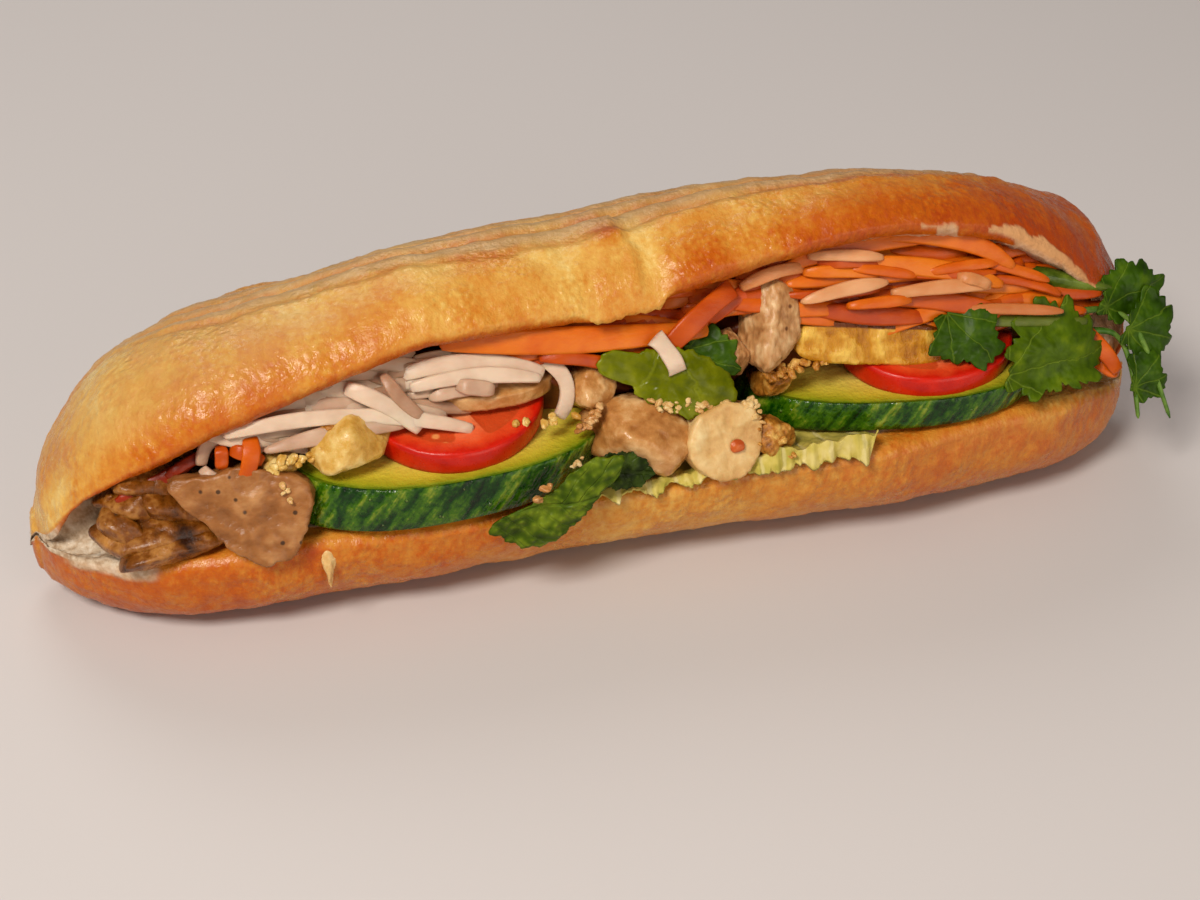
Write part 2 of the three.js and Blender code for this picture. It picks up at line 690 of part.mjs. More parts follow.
piece(
  "mint_leaf",
  inFace(
    leaf(scalloped(MINT_CORNERS, 22, 0.03),
      (x, y) => 0.6 * Math.sin(x * 0.5) * Math.cos(y * 0.5) - 0.008 * y * y,
      { around: 44, rings: 2, thick: 0.9 }),
    [-20, 2, 4.2], { pitch: 26, yaw: 8 },
  ),
  0x4b7d1c,
);
piece(
  "mint_leaf_under",
  inFace(
    leaf(crinkled(7.4, 4.6, 11), (x, y) => 0.4 * Math.sin(x * 0.9) * Math.cos(y * 0.8),
      { around: 22, rings: 2, thick: 0.8 }),
    [-4, 5.8, 3.8], { spin: -14, pitch: 16 },
  ),
  0x26420f,
);
piece(
  "coriander_middle",
  inFace(
    leaf(scalloped(OLIVE_CORNERS, 15, 0.04),
      (x, y) => Math.sin(x * 0.22 + 0.6) + 0.5 * Math.sin(y * 0.5 + x * 0.3),
      { around: 46, rings: 2 }),
    [7, 22.8, 3.6], { pitch: 4 },
  ),
  0x5f7308,
);
piece(
  "coriander_dark",
  inFace(
    leaf(coriander(7.4, 5.6, 7), (x, y) => 0.8 * Math.sin(x * 0.5) + 0.3 * Math.sin(y * 0.9),
      { around: 28, rings: 2 }),
    [16.4, 26, 1.6], { spin: -30 },
  ),
  0x2f5512,
);
piece(
  "coriander_right",
  inFace(
    leaf(coriander(9.2, 8, 7), (x, y) => 0.9 * Math.sin(x * 0.4) - 0.02 * y * y,
      { around: 28, rings: 2 }),
    [71.4, 21.4, 3.6], { spin: -18 },
  ),
  0x2c5310,
);
piece(
  "coriander_large",
  inFace(
    leaf(coriander(15, 11.2, 11, 0.6), (x, y) => 1.1 * Math.sin(x * 0.24 + 0.4) + 0.5 * Math.sin(y * 0.5),
      { around: 44, rings: 2 }),
    [92, 14.6, 1.2], { spin: 4, yaw: -14 },
  ),
  0x3f6a14,
);

// ---------------------------------------------------------------- grated pickle
// Strips: from x, s to x, s, sideways bow, how far out, width.
const DAIKON_LEFT = [
  [-82.4, 26, -33.6, 19.4, 3.2, 1.6, 3.6],
  [-75, 21.6, -47, 22.4, 1, 1.4, 3.8],
  [-67.5, 28.2, -47, 25.6, 1, -1, 4],
  [-57.6, 31.4, -44, 21, 0.8, 1.8, 4],
  [-50, 33, -43.4, 23.4, -0.8, 2.2, 3.2],
  [-80, 25.2, -87, 20.4, -2.4, -3.4, 3.2],
  [-87, 20, -79.6, 18, -2, -3, 3],
  [-46, 32, -17.6, 28, 2.6, 0.4, 4],
  [-45, 29.4, -18.6, 27.2, 1.6, 1.6, 3.6],
  [-43, 34, -25, 32.6, 0.6, -1.4, 4],
  [-41.4, 26.6, -30.6, 27.2, 0.6, 0.6, 3.4],
  [-36, 28.6, -28.4, 26.6, 0, 2.4, 3.8],
  [-17.6, 31, -15.8, 18.8, 3.2, 0.2, 3.6],
  [5.6, 30.6, 10.2, 24.2, 0.4, 1.4, 3.8],
];
const CARROT_LEFT = [
  [-83, 24, -83.6, 19.2, 0.2, -1.4, 2.8],
  [-81.4, 22.8, -75.4, 19.4, 0.4, -0.2, 3],
  [-77.2, 24.8, -79.6, 16.6, 0.6, 0.2, 3.6],
  [-38, 37.2, 17, 31.8, -0.6, 2.4, 5.4],
  [-18.5, 31.8, -5, 28.2, 0.3, 2.2, 2.8],
  [7.6, 29.6, 22.8, 39.6, 0.6, 4.2, 4.4],
];
const CARROT_RIGHT = [
  [34.6, 42, 65.6, 43.4, 1.8, 3.4, 4.8],
  [55.6, 45, 84, 35, 3.2, 4.2, 4.8],
  [41, 42.2, 55, 40, 0.4, 4.4, 3.6],
  [34.4, 38.4, 70.4, 35.8, 1, 2.6, 4.6],
  [48.6, 40.6, 81.2, 31.6, 1.4, 4, 4.4],
  [37.4, 33.2, 66.5, 27, -0.4, 1.6, 4.4],
  [50.6, 33.4, 81, 26, 1, 2, 4.2],
  [78.5, 32.4, 106, 26.6, -0.6, -1.4, 3.8],
  [26, 32.6, 34.6, 38, 0, -1.4, 3.6],
  [81.4, 28.4, 97, 25.4, 0.4, -0.4, 3.2],
  [94.4, 25.8, 108.4, 9, 0.8, -3.2, 3.8],
  [104, 12, 109.4, 8.2, 0, -5.4, 3.6],
];
const DAIKON_RIGHT = [
  [24.6, 39.2, 38.6, 41.4, 1, 3.2, 3.6],
  [36.4, 34.6, 55.6, 36, 0.6, 4.2, 4],
  [39, 43.6, 55, 41, 0.4, 4.8, 3.2],
  [56, 33.4, 78, 32, 0.6, 3.8, 3.8],
  [70.4, 34.8, 77.4, 32, 0.4, 4.8, 3.4],
  [72, 28, 94.6, 24.2, 0.2, 1.6, 3.2],
  [67, 26.2, 100.8, 21.2, 0, 0.6, 2.4],
];

// ---------------------------------------------------------------- green chilli and the hanging sprig
piece(
  "green_chilli",
  inFace(lump([24, 4.2, 7], { seed: 2, rough: 0.06, square: 0.9 }), [95.6, 31, -3.6], { spin: -20 }),
  0x51631a,
);

// Stalks of a coriander sprig that hangs out of the right end, and the blades on them.
const SPRIG_STALKS = [
  [[98, 23, -4], [107, 22.6, -3.4], [113, 17, -2], [117.6, -2.4, -1]],
  [[99, 19, -4.4], [108, 17.4, -3.6], [110.6, 10, -2.4], [110.4, -1.4, -1.4]],
];
const SPRIG_BLADES = [
  [[112.8, 25.2, -2.6], [10.8, 6.6], 14, 8],
  [[115, 16.4, -1.4], [7, 8.4], -20, 7],
  [[113.8, 6, -1], [5, 6.6], 8, 6],
];

function stalk(places, radius) {
  const curve = new THREE.CatmullRomCurve3(places.map(([x, s, d]) => inMouth(x, s, d)));
  const steps = 6;
  const sides = 4;
  const frames = curve.computeFrenetFrames(steps);
  const rings = [];
  for (let i = 0; i <= steps; i++) {
    const c = curve.getPointAt(i / steps);
    const r = radius * (1 - (0.35 * i) / steps);
    const ring = [];
    for (let k = 0; k < sides; k++) {
      const w = (2 * Math.PI * k) / sides;
      const p = c
        .clone()
        .addScaledVector(frames.normals[i], r * Math.cos(w))
        .addScaledVector(frames.binormals[i], r * Math.sin(w));
      ring.push([p.x, p.y, p.z]);
    }
    rings.push(ring);
  }
  return tube(rings);
}

piece(
  "coriander_sprig",
  joined([
    ...SPRIG_STALKS.map((places) => stalk(places, 0.8)),
    ...SPRIG_BLADES.map(([place, [w, h], spin, teeth]) =>
      inFace(
        leaf(coriander(w, h, teeth, 0.4), (x, y) => 0.6 * Math.sin(x * 0.5) + 0.4 * Math.sin(y * 0.6),
          { around: 18, rings: 2 }),
        place, { spin, yaw: -12 },
      ),
    ),
  ]),
  0x2f5a16,
);

// The body of a heap fills the mouth behind its strips and behind the slices, from the lower cut face to
// the upper. It runs from one x to another; low gives how high its front foot stands and set how far out.
const HEAP = { steps: 8, deep: -12, head: 26, slope: 24, clear: 0.5, pinch: 0.5 };

function heapBody([from, to], low, set) {
  const rings = [];
  for (let i = 0; i <= HEAP.steps; i++) {
    const t = i / HEAP.steps;
    const x = lerp(from, to, t);
    const [half, , slit, opening, shift] = rollAt.map((f) => f(x));
    const hinge = half * HINGE + shift;
    const roof = (y) => slit + (hinge - y) * Math.tan(rad(opening)) - HEAP.clear;
    const pinch = 1 - HEAP.pinch * Math.abs(2 * t - 1) ** 6;
    const foot = inMouth(x, low(x) + 0.7 * Math.sin(i * 2.3 + from), set(x));
    const back = hinge - Math.min(JOINT, half * JOINT_SHARE) - HEAP.clear;
    const topY = foot.y + UP.y * HEAP.slope * pinch;
    const head = Math.min(roof(topY), foot.z + HEAP.head);
    rings.push([
      [x, foot.y, foot.z],
      [x, HEAP.deep, slit + HEAP.clear],
      [x, back, slit],
      [x, back, roof(back)],
      [x, lerp(topY, back, 0.5), roof(lerp(topY, back, 0.5))],
      [x, topY, head],
      [x, lerp(foot.y, topY, 0.5) - 0.6, lerp(foot.z, head, 0.5)],
    ]);
  }
  return tube(rings);
}

const heap = (body, rows) => joined([body, ...rows.map((row) => strip(row))]);

piece(
  "pickle_left",
  heap(
    heapBody([-92, 14.2], (x) => 22 + 3.5 * smooth(-60, -10, x), (x) => -0.6 - 3 * smooth(-78, -88, x)),
    [...DAIKON_LEFT, ...CARROT_LEFT],
  ),
  0xe2cdb8,
);
piece(
  "pickle_right",
  heap(
    heapBody([14.6, 108], (x) => 31.5 - 10 * smooth(30, 96, x), (x) => 1.2 - 7 * smooth(76, 104, x)),
    [...DAIKON_RIGHT, ...CARROT_RIGHT],
  ),
  0xe2772a,
);

// ---------------------------------------------------------------- the finished group
const group = new THREE.Group();
const box = new THREE.Box3();
for (const p of pieces) box.union(p.box);
const middle = box.getCenter(new THREE.Vector3());
for (const { name, geometry, colour } of pieces) {
  geometry.translate(-middle.x, -middle.y, -box.min.z);
  const mesh = new THREE.Mesh(geometry, new THREE.MeshStandardMaterial({ color: colour }));
  mesh.name = name;
  group.add(mesh);
}
export default group;
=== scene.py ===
"""Banh mi: a split crusty roll, hinged along its back and filled with meat, salad, grated pickle and herbs.

Shapes are drawn in millimetres in the roll's own frame, with X along the roll and the open mouth facing -Y,
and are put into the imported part's frame as each piece is finished.
"""

from math import atan2, copysign, cos, exp, fmod, hypot, pi, radians, remainder, sin, sqrt, tan, tau

import bmesh
import bpy
from mathutils import Matrix, Vector, noise


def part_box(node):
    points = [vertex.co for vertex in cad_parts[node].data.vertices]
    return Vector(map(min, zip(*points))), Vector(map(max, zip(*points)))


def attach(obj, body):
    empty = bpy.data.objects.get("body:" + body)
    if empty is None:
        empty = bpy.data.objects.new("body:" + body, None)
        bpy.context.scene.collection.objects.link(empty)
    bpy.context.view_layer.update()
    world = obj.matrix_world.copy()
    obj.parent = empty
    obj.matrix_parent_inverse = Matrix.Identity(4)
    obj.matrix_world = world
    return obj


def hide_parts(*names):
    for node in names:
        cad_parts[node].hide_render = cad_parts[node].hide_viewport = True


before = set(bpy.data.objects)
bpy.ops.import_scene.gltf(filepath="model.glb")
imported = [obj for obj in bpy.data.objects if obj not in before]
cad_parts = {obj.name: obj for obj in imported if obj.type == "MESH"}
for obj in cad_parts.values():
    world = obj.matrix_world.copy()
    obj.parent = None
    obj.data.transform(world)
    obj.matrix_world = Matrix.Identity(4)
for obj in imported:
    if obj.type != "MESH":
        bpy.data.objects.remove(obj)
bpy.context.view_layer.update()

# ---------------- the roll's sizes, as in the part's source
HALF_LENGTH = 120.0
TOP_POWER = 2.3
BASE_POWER = 2.7
HINGE = 0.95
BASE_WIDTH = 0.97
JOINT = 9.0
FLAT_SOLE = 0.5
TIP_LIFT, LIFT_FROM, LIFT_TO = 5.0, 98, 122
LOWER_LIP, UPPER_LIP, FULL_LIP_AT = 2.4, 1.8, 25

# x, half width, closed height, slit height, opening in degrees, shift in y, forward bulge, slit depth
ROLL = (
    (-120, 4, 18, 15, 8, 1, 0, 2),
    (-118, 9, 26, 16, 12, -1, 0, 4),
    (-115, 13.5, 31, 17.5, 16.5, -1.5, -1, 6),
    (-108, 19.5, 37, 19.5, 21, -2.5, -1, 12),
    (-98, 25, 42, 20, 24, -3, 0, 32),
    (-85, 30, 44, 22, 25, -2, 1, 99),
    (-65, 33, 44, 23, 27.5, 0, 0.5, 99),
    (-40, 35.5, 44.5, 23, 31.5, 0.5, -1, 99),
    (-10, 36, 46, 23, 31, 1.5, -2, 99),
    (20, 37.5, 46, 24.5, 33, 1.5, -1, 99),
    (50, 38, 44, 25.5, 35.5, 0, 1, 99),
    (75, 35, 43.5, 26, 34.5, 0, 3.5, 99),
    (95, 30.5, 44.5, 25, 29, -0.5, 4.5, 99),
    (107, 26, 44.5, 22.5, 23, 0.5, 3.5, 34),
    (114, 19.5, 39.5, 20.5, 21.5, -0.5, 2, 16),
    (118, 12.5, 33, 18, 22, -1.5, 0.5, 8),
    (120, 7, 25, 18, 20, -2.5, 0, 5),
)

# The front edge of the scored crown: x, and where it lies across the closed roll.
RIDGE = (
    (-108, 4), (-90, -7), (-75, -14.5), (-40, -24), (20, -28), (60, -26.5), (82, -19), (100, -8), (110, 0),
)
SCORES_BEHIND = (0.0, 8.0, 16.0, 25.0)
SCORE_DEEP = 1.2
SCORE_WIDE = 1.9

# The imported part's origin is under the middle of its box. Where a tomato slice lies in it gives the move.
tomato_low, tomato_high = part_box("tomato_left")
TOMATO_X, TOMATO_Y = -0.0355, -0.0146
offset_x = (tomato_low.x + tomato_high.x) / 2 - TOMATO_X
offset_y = (tomato_low.y + tomato_high.y) / 2 - TOMATO_Y
OFFSET = Vector((offset_x, offset_y, 0))
TO_PART = Matrix.Translation(OFFSET) @ Matrix.Scale(0.001, 4)


# ---------------- small helpers
def lerp(a, b, t):
    return a + (b - a) * t


def smooth(low, high, v):
    t = min(1.0, max(0.0, (v - low) / (high - low)))
    return t * t * (3 - 2 * t)


def bell(v, middle, wide):
    return exp(-(((v - middle) / wide) ** 2))


def along(table, column):
    """One column of a table of stations as a smooth monotone curve of x."""
    xs = [row[0] for row in table]
    ys = [row[column] for row in table]
    count = len(xs)
    gaps = [b - a for a, b in zip(xs, xs[1:])]
    slopes = [(b - a) / w for a, b, w in zip(ys, ys[1:], gaps)]
    tangents = [slopes[0]]
    for i in range(1, count - 1):
        if slopes[i - 1] * slopes[i] <= 0:
            tangents.append(0.0)
            continue
        a = 2 * gaps[i] + gaps[i - 1]
        b = gaps[i] + 2 * gaps[i - 1]
        tangents.append((a + b) / (a / slopes[i - 1] + b / slopes[i]))
    tangents.append(slopes[-1])

    def curve(x):
        i = 0
        while i < count - 2 and x > xs[i + 1]:
            i += 1
        t = min(1.0, max(0.0, (x - xs[i]) / gaps[i]))
        t2, t3 = t * t, t * t * t
        return (
            ys[i] * (2 * t3 - 3 * t2 + 1)
            + gaps[i] * tangents[i] * (t3 - 2 * t2 + t)
            + ys[i + 1] * (3 * t2 - 2 * t3)
            + gaps[i] * tangents[i + 1] * (t3 - t2)
        )

    return curve


ROLL_CURVES = [along(ROLL, column) for column in range(1, 8)]
ridge_at = along(RIDGE, 1)


def roll_at(x):
    return [curve(x) for curve in ROLL_CURVES]


def draws(seed):
    """A repeatable stream of numbers between -1 and 1."""
    state = float(seed * 7919 + 17)
    while True:
        state = fmod(state * 1103515245.0 + 12345.0, 2147483648.0)
        yield state / 1073741824.0 - 1.0


def ripple(x, y, z=0.0):
    """Smooth noise between -1 and 1."""
    return noise.noise(Vector((x, y, z)))


def rough(p, size, seed, octaves=3):
    """Fractal noise between about -1 and 1, with lumps of the given size in millimetres."""
    return noise.fractal(Vector((p[0] / size + seed, p[1] / size - seed, p[2] / size)), 0.6, 2.0, octaves)


# ---------------- the mouth's own frame
MOUTH = Vector((0, -36, 23))
UP = Vector((0, 0.4895, 0.872))
OUT = Vector((0, -0.872, 0.4895))


def in_mouth(x, s, d):
    return Vector((x, 0, 0)) + MOUTH + UP * s + OUT * d


def turn_of(spin, about_y, about_x):
    angles = (spin, "Z"), (about_y, "Y"), (about_x, "X")
    turns = [Matrix.Rotation(radians(angle), 4, axis) for angle, axis in angles]
    return turns[0] @ turns[1] @ turns[2]


def in_face(place, spin=0, pitch=0, yaw=0):
    """The matrix that puts a piece drawn in X along, Y up and Z out at a place in the mouth."""
    basis = Matrix((Vector((1, 0, 0)), UP, OUT)).transposed().to_4x4()
    return Matrix.Translation(in_mouth(*place)) @ basis @ turn_of(spin, -yaw, pitch)


def lying(place, spin=0, nose=0):
    """The matrix that puts a piece drawn flat in X and Y at a place in the roll's frame."""
    return Matrix.Translation(place) @ turn_of(spin, 0, nose)


# ---------------- shader maths
def srgb(code):
    """A screen colour such as "ca822a" as the linear colour a shader takes."""
    screen = [v / 255 for v in bytes.fromhex(code)]
    linear = [v / 12.92 if v <= 0.04045 else ((v + 0.055) / 1.055) ** 2.4 for v in screen]
    return (*linear, 1.0)


class Number:
    """A value that changes over a surface. Sums and products of it add Math nodes."""

    def __init__(self, finish, socket):
        self.finish = finish
        self.socket = socket

    def math(self, operation, *values, clamp=False):
        settings = {"operation": operation, "use_clamp": clamp}
        return self.finish.node("ShaderNodeMath", settings, dict(enumerate(values)))

    def __add__(self, other):
        return self.math("ADD", self, other)

    __radd__ = __add__

    def __sub__(self, other):
        return self.math("SUBTRACT", self, other)

    def __rsub__(self, other):
        return self.math("SUBTRACT", other, self)

    def __mul__(self, other):
        return self.math("MULTIPLY", self, other)

    __rmul__ = __mul__

    def __pow__(self, other):
        return self.math("POWER", self, other)

    def sine(self):
        return self.math("SINE", self)

    def absolute(self):
        return self.math("ABSOLUTE", self)

    def clamped(self):
        return self.math("ADD", self, 0.0, clamp=True)

    def step(self, low, high):
        """0 below low, 1 above high, and a soft step between them."""
        inputs = {"Value": self, "From Min": low, "From Max": high}
        return self.finish.node("ShaderNodeMapRange", {"interpolation_type": "SMOOTHSTEP"}, inputs)


class Finish:
    """A procedural material."""

    def __init__(self, name):
        self.material = bpy.data.materials.new(name)
        self.material.use_nodes = True
        self.tree = self.material.node_tree
        self.shader = self.tree.nodes["Principled BSDF"]
        self.place = self.node("ShaderNodeTexCoord", {}, {}, output="Object")

    def node(self, kind, settings, inputs, output=0):
        made = self.tree.nodes.new(kind)
        for key, value in settings.items():
            if key == "stops":
                self._stops(made, value)
            else:
                setattr(made, key, value)
        for key, value in inputs.items():
            self._feed(made.inputs[key], value)
        return Number(self, made.outputs[output])

    def _feed(self, socket, value):
        if isinstance(value, Number):
            self.tree.links.new(value.socket, socket)
        else:
            socket.default_value = srgb(value) if isinstance(value, str) else value

    def _stops(self, ramp_node, stops):
        ramp = ramp_node.color_ramp
        while len(ramp.elements) < len(stops):
            ramp.elements.new(0.5)
        for element, (position, colour) in zip(ramp.elements, stops):
            element.position = position
            element.color = srgb(colour)

    def at(self, stretch, move=(0, 0, 0), turn=(0, 0, 0)):
        spun = self.node("ShaderNodeMapping", {}, {"Vector": self.place, "Rotation": turn})
        scale = tuple(1 / v for v in stretch)
        return self.node("ShaderNodeMapping", {}, {"Vector": spun, "Scale": scale, "Location": move})

    def speckle(self, size, detail, stretch=(1, 1, 1), move=(0, 0, 0), turn=(0, 0, 0), roughness=0.55):
        """Soft noise between 0 and 1, with lumps of the given size in millimetres."""
        place = self.at(stretch, move, turn)
        inputs = {"Vector": place, "Scale": 1000 / size, "Detail": detail, "Roughness": roughness}
        return self.node("ShaderNodeTexNoise", {}, inputs)

    def cells(self, size, feature="F1", stretch=(1, 1, 1)):
        """Distance from scattered points at the given spacing in millimetres."""
        inputs = {"Vector": self.at(stretch), "Scale": 1000 / size}
        return self.node("ShaderNodeTexVoronoi", {"feature": feature}, inputs)

    def painted(self, name):
        """A number that the mesh carries at each vertex."""
        return self.node("ShaderNodeAttribute", {"attribute_name": name}, {}, output="Fac")

    def ramp(self, value, *stops):
        return self.node("ShaderNodeValToRGB", {"stops": stops}, {"Fac": value})

    def mix(self, share, first, second):
        return self.node("ShaderNodeMix", {"data_type": "RGBA"}, {0: share, 6: first, 7: second}, output=2)

    def bump(self, height, depth, strength):
        """A bump whose height of 1 stands for a depth in millimetres."""
        inputs = {"Height": height, "Distance": depth / 1000, "Strength": strength}
        return self.node("ShaderNodeBump", {}, inputs)

    def surface(self, colour, roughness, normal=None, specular=0.3, glow=0.0, glow_deep=0.002):
        """The material. glow is the share of light that spreads under the surface, glow_deep metres far."""
        given = {
            "Base Color": colour, "Roughness": roughness, "Normal": normal, "Specular IOR Level": specular,
            "Subsurface Weight": glow, "Subsurface Scale": glow_deep,
        }
        for key, value in given.items():
            if value is not None:
                self._feed(self.shader.inputs[key], value)
        return self.material


# ---------------- finishes
def crust_finish():
    f = Finish("baked_crust")
    crumb = f.painted("crumb")
    toast = f.painted("toast")
    dust = f.painted("dust")
    broad = f.speckle(22, 3)
    mottle = f.speckle(6, 5, stretch=(1, 1.5, 1.5), roughness=0.68)
    fine = f.speckle(0.8, 3, stretch=(1, 1, 1.8))
    blister = 1 - f.cells(1.2, "SMOOTH_F1", stretch=(1, 1, 1.8))
    patch = f.speckle(13, 2, move=(0.2, 0.1, 0)).step(0.44, 0.6)
    # Pale flecks on the blisters: pale blisters, with painted glints.
    fleck = ((blister - 0.66) * 1.5 + (fine - 0.5) * 1.6) * (0.25 + patch * 0.75)
    wrinkle = f.speckle(2.2, 3, stretch=(1, 2.2, 2.2), roughness=0.6)
    dimple = f.speckle(1.3, 2, roughness=0.7)
    tone = toast + (broad - 0.5) * 0.4 + (mottle - 0.5) * 0.5 + (wrinkle - 0.5) * 0.3
    tone = tone + (dimple - 0.5) * 0.34 - fleck * 0.16
    crust = f.ramp(
        tone.clamped(),
        (0.0, "eace82"), (0.25, "daaa52"), (0.5, "ca822a"), (0.75, "ba5a04"), (1.0, "a63e00"),
    )
    # The pale flour colour, which also paints the sheen on the left of the front crust.
    chalk = f.ramp(mottle, (0.3, "a27c4e"), (0.7, "caaa7a"))
    crust = f.mix((dust * (0.5 + mottle * 0.6)).clamped(), crust, chalk)
    spots = 1 - f.cells(17).step(0.022, 0.034)
    crust = f.mix(spots * 0.8, crust, "462210")
    pits = f.speckle(1.8, 3, roughness=0.6)
    inside = f.ramp(pits, (0.32, "a88a6c"), (0.5, "ccb69a"), (0.7, "e6d8c4"))
    # Crumb where toast is high, on the lid's underside and the patches at the upper lip, is mixed towards
    # tan: some browning, and painted shade.
    inside = f.mix(((toast - 0.54) * 2.2).clamped(), inside, "ce9864")
    share = (crumb + (mottle - 0.5) * 0.7).step(0.26, 0.74)
    colour = f.mix(share, crust, inside)
    relief = mottle * 0.3 + wrinkle * 0.5 + dimple * 0.6 + fine * 0.3 + blister * (0.1 + patch * 0.7)
    relief = relief + pits * share * 0.7
    rough_all = (0.37 + (dimple - 0.5) * 0.6 - patch * 0.07 + dust * 0.06 + share * 0.5).clamped()
    return f.surface(colour, rough_all, f.bump(relief, 0.42, 0.85), 0.32)


def cucumber_finish():
    f = Finish("cucumber_slice")
    skin = f.painted("skin")
    rim = f.painted("rim")
    streak = f.speckle(2.4, 3, stretch=(1, 1, 5), turn=(0, -0.6, 0))
    wet = f.speckle(13, 2, move=(0.3, 0, 0)).step(0.5, 0.62)
    speck = f.speckle(1.0, 2)
    dots = 1 - f.cells(3.4).step(0.05, 0.12)
    # Wet patches are glossier, and lighter in colour: painted sheen.
    tone = streak * 0.74 + speck * 0.26 + wet * 0.07
    green = f.ramp(tone, (0.34, "001a00"), (0.45, "0e3a00"), (0.57, "3c6404"), (0.7, "889428"))
    green = f.mix(dots * 0.3, green, "96aa5a")
    cloud = f.speckle(5, 2)
    flesh = f.ramp(
        rim + (cloud - 0.5) * 0.1,
        (0.0, "e0cc72"), (0.6, "d8c452"), (0.82, "c6b634"), (0.93, "a09e1e"), (1.0, "54720a"),
    )
    seeds = f.cells(3.4, "F1", stretch=(1, 1, 3)).step(0.2, 0.42)
    seeded = ((1 - seeds) * (1 - rim.step(0.35, 0.55))).clamped()
    flesh = f.mix(seeded * 0.6, flesh, "ded896")
    colour = f.mix(skin.step(0.3, 0.7), flesh, green)
    relief = streak * (1.2 + wet * 1.2) * skin + speck * 0.4 + dots * 0.6 * skin
    rough_all = (0.08 + speck * 0.16 + (1 - wet) * 0.14).clamped()
    return f.surface(colour, rough_all, f.bump(relief, 0.7, 0.9), 0.34, 0.03)


def tomato_finish():
    f = Finish("tomato_slice")
    skin = f.painted("skin")
    rim = f.painted("rim")
    cell = f.painted("cell")
    cloud = f.speckle(4, 3)
    fine = f.speckle(0.8, 2)
    tone = rim + (cloud - 0.5) * 0.3
    flesh = f.ramp(tone, (0.0, "f6be8c"), (0.4, "f0905c"), (0.8, "e44e22"), (0.97, "cc1a04"))
    gel = f.ramp(f.cells(3.2).step(0.12, 0.34), (0.0, "e69654"), (1.0, "cc4a1e"))
    flesh = f.mix(cell.step(0.35, 0.6), flesh, gel)
    red = f.ramp(cloud, (0.3, "b00c00"), (0.7, "ce1e02"))
    colour = f.mix(skin.step(0.3, 0.7), flesh, red)
    relief = fine * (1 - skin) + cloud * 0.3
    rough_all = (0.2 + fine * 0.2 + (1 - skin) * 0.06).clamped()
    return f.surface(colour, rough_all, f.bump(relief, 0.25, 0.6), 0.35, 0.04)


def meat_finish(
    name, dark, middle, light, size, specks=None, gloss=0.36, depth=0.3, grain=(1, 1, 1), edge=None, rich=1
):
    """Cooked meat, egg or fried crumbs, dark where height is low as painted shade, light where high. skin
    marks an edge of its own colour.
    """
    f = Finish(name)
    height = f.painted("height")
    cloud = f.speckle(size * 2.4, 3)
    fibre = f.speckle(size * 0.4, 4, stretch=grain, roughness=0.65)
    tone = 0.5 + ((height - 0.5) * 0.55 + (cloud - 0.5) * 1.0 + (fibre - 0.5) * 0.55) * rich
    colour = f.ramp(tone.clamped(), (0.14, dark), (0.5, middle), (0.86, light))
    if specks is not None:
        spots = 1 - f.cells(4.2).step(0.07, 0.15)
        colour = f.mix(spots * 0.85, colour, specks)
    if edge is not None:
        colour = f.mix((f.painted("skin") + (fibre - 0.5) * 0.5).step(0.3, 0.7), colour, edge)
    relief = fibre * 0.8 + cloud * 0.5
    rough_all = (gloss + (fibre - 0.5) * 0.4).clamped()
    return f.surface(colour, rough_all, f.bump(relief, depth, 0.8), 0.36, 0.06)


def leaf_finish(name, deep, middle, light, vein, branches, quilt=0.0, gloss=0.4, midrib=False):
    """A leaf whose veins fan out from its stalk end or leave a midrib; leaf_x, leaf_y are millimetres."""
    f = Finish(name)
    x = f.painted("leaf_x")
    y = f.painted("leaf_y")
    cloud = f.speckle(4.5, 3)
    sway = (cloud - 0.5) * 1.4
    if midrib:
        side = ((x - y.absolute() * 0.9) * branches + sway).sine().absolute()
        line = ((1 - side.step(0.0, 0.3)) * 0.6 + (1 - y.absolute().step(0.15, 0.6))).clamped()
    else:
        radius = (x * x + y * y) ** 0.5
        angle = x.math("ARCTAN2", y, x)
        line = 1 - ((angle * branches + sway).sine().absolute() * radius).step(0.3, 1.3)
    net = f.cells(1.5, "SMOOTH_F1")
    tone = cloud * 0.7 + (1 - net) * (0.12 + quilt * 0.3) + 0.05 - quilt * 0.1
    colour = f.ramp(tone.clamped(), (0.25, deep), (0.5, middle), (0.78, light))
    colour = f.mix(line * 0.24, colour, vein)
    relief = (1 - net) * (0.15 + quilt) - line * 0.5 + cloud * 0.3
    normal = f.bump(relief, 0.22 + quilt * 0.3, 0.8)
    return f.surface(colour, (gloss + (cloud - 0.5) * 0.3).clamped(), normal, 0.14)


def strip_finish(name, shade, middle, light, glow):
    """Wet grated vegetable: each strip has its own tone, and fine lines run through it."""
    f = Finish(name)
    tone = f.painted("tone")
    cloud = f.speckle(6, 2)
    fine = f.speckle(0.9, 3, stretch=(2.4, 1, 1))
    value = (0.52 + tone * 0.34 + (cloud - 0.5) * 0.6 + (fine - 0.5) * 0.16).clamped()
    colour = f.ramp(value, (0.12, shade), (0.5, middle), (0.88, light))
    normal = f.bump(fine + cloud * 0.8, 0.16, 0.6)
    return f.surface(colour, (0.26 + fine * 0.2).clamped(), normal, glow=glow, glow_deep=0.003)


def plain_finish(name, low, high, size, gloss, depth):
    f = Finish(name)
    cloud = f.speckle(size, 3)
    colour = f.ramp(cloud, (0.35, low), (0.65, high))
    return f.surface(colour, (gloss + (cloud - 0.5) * 0.2).clamped(), f.bump(cloud, depth, 0.7))


# ---------------- making and placing meshes
def linked(name, data):
    made = bpy.data.objects.new(name, data)
    bpy.context.scene.collection.objects.link(made)
    return made


MERGE_WITHIN = 1e-4


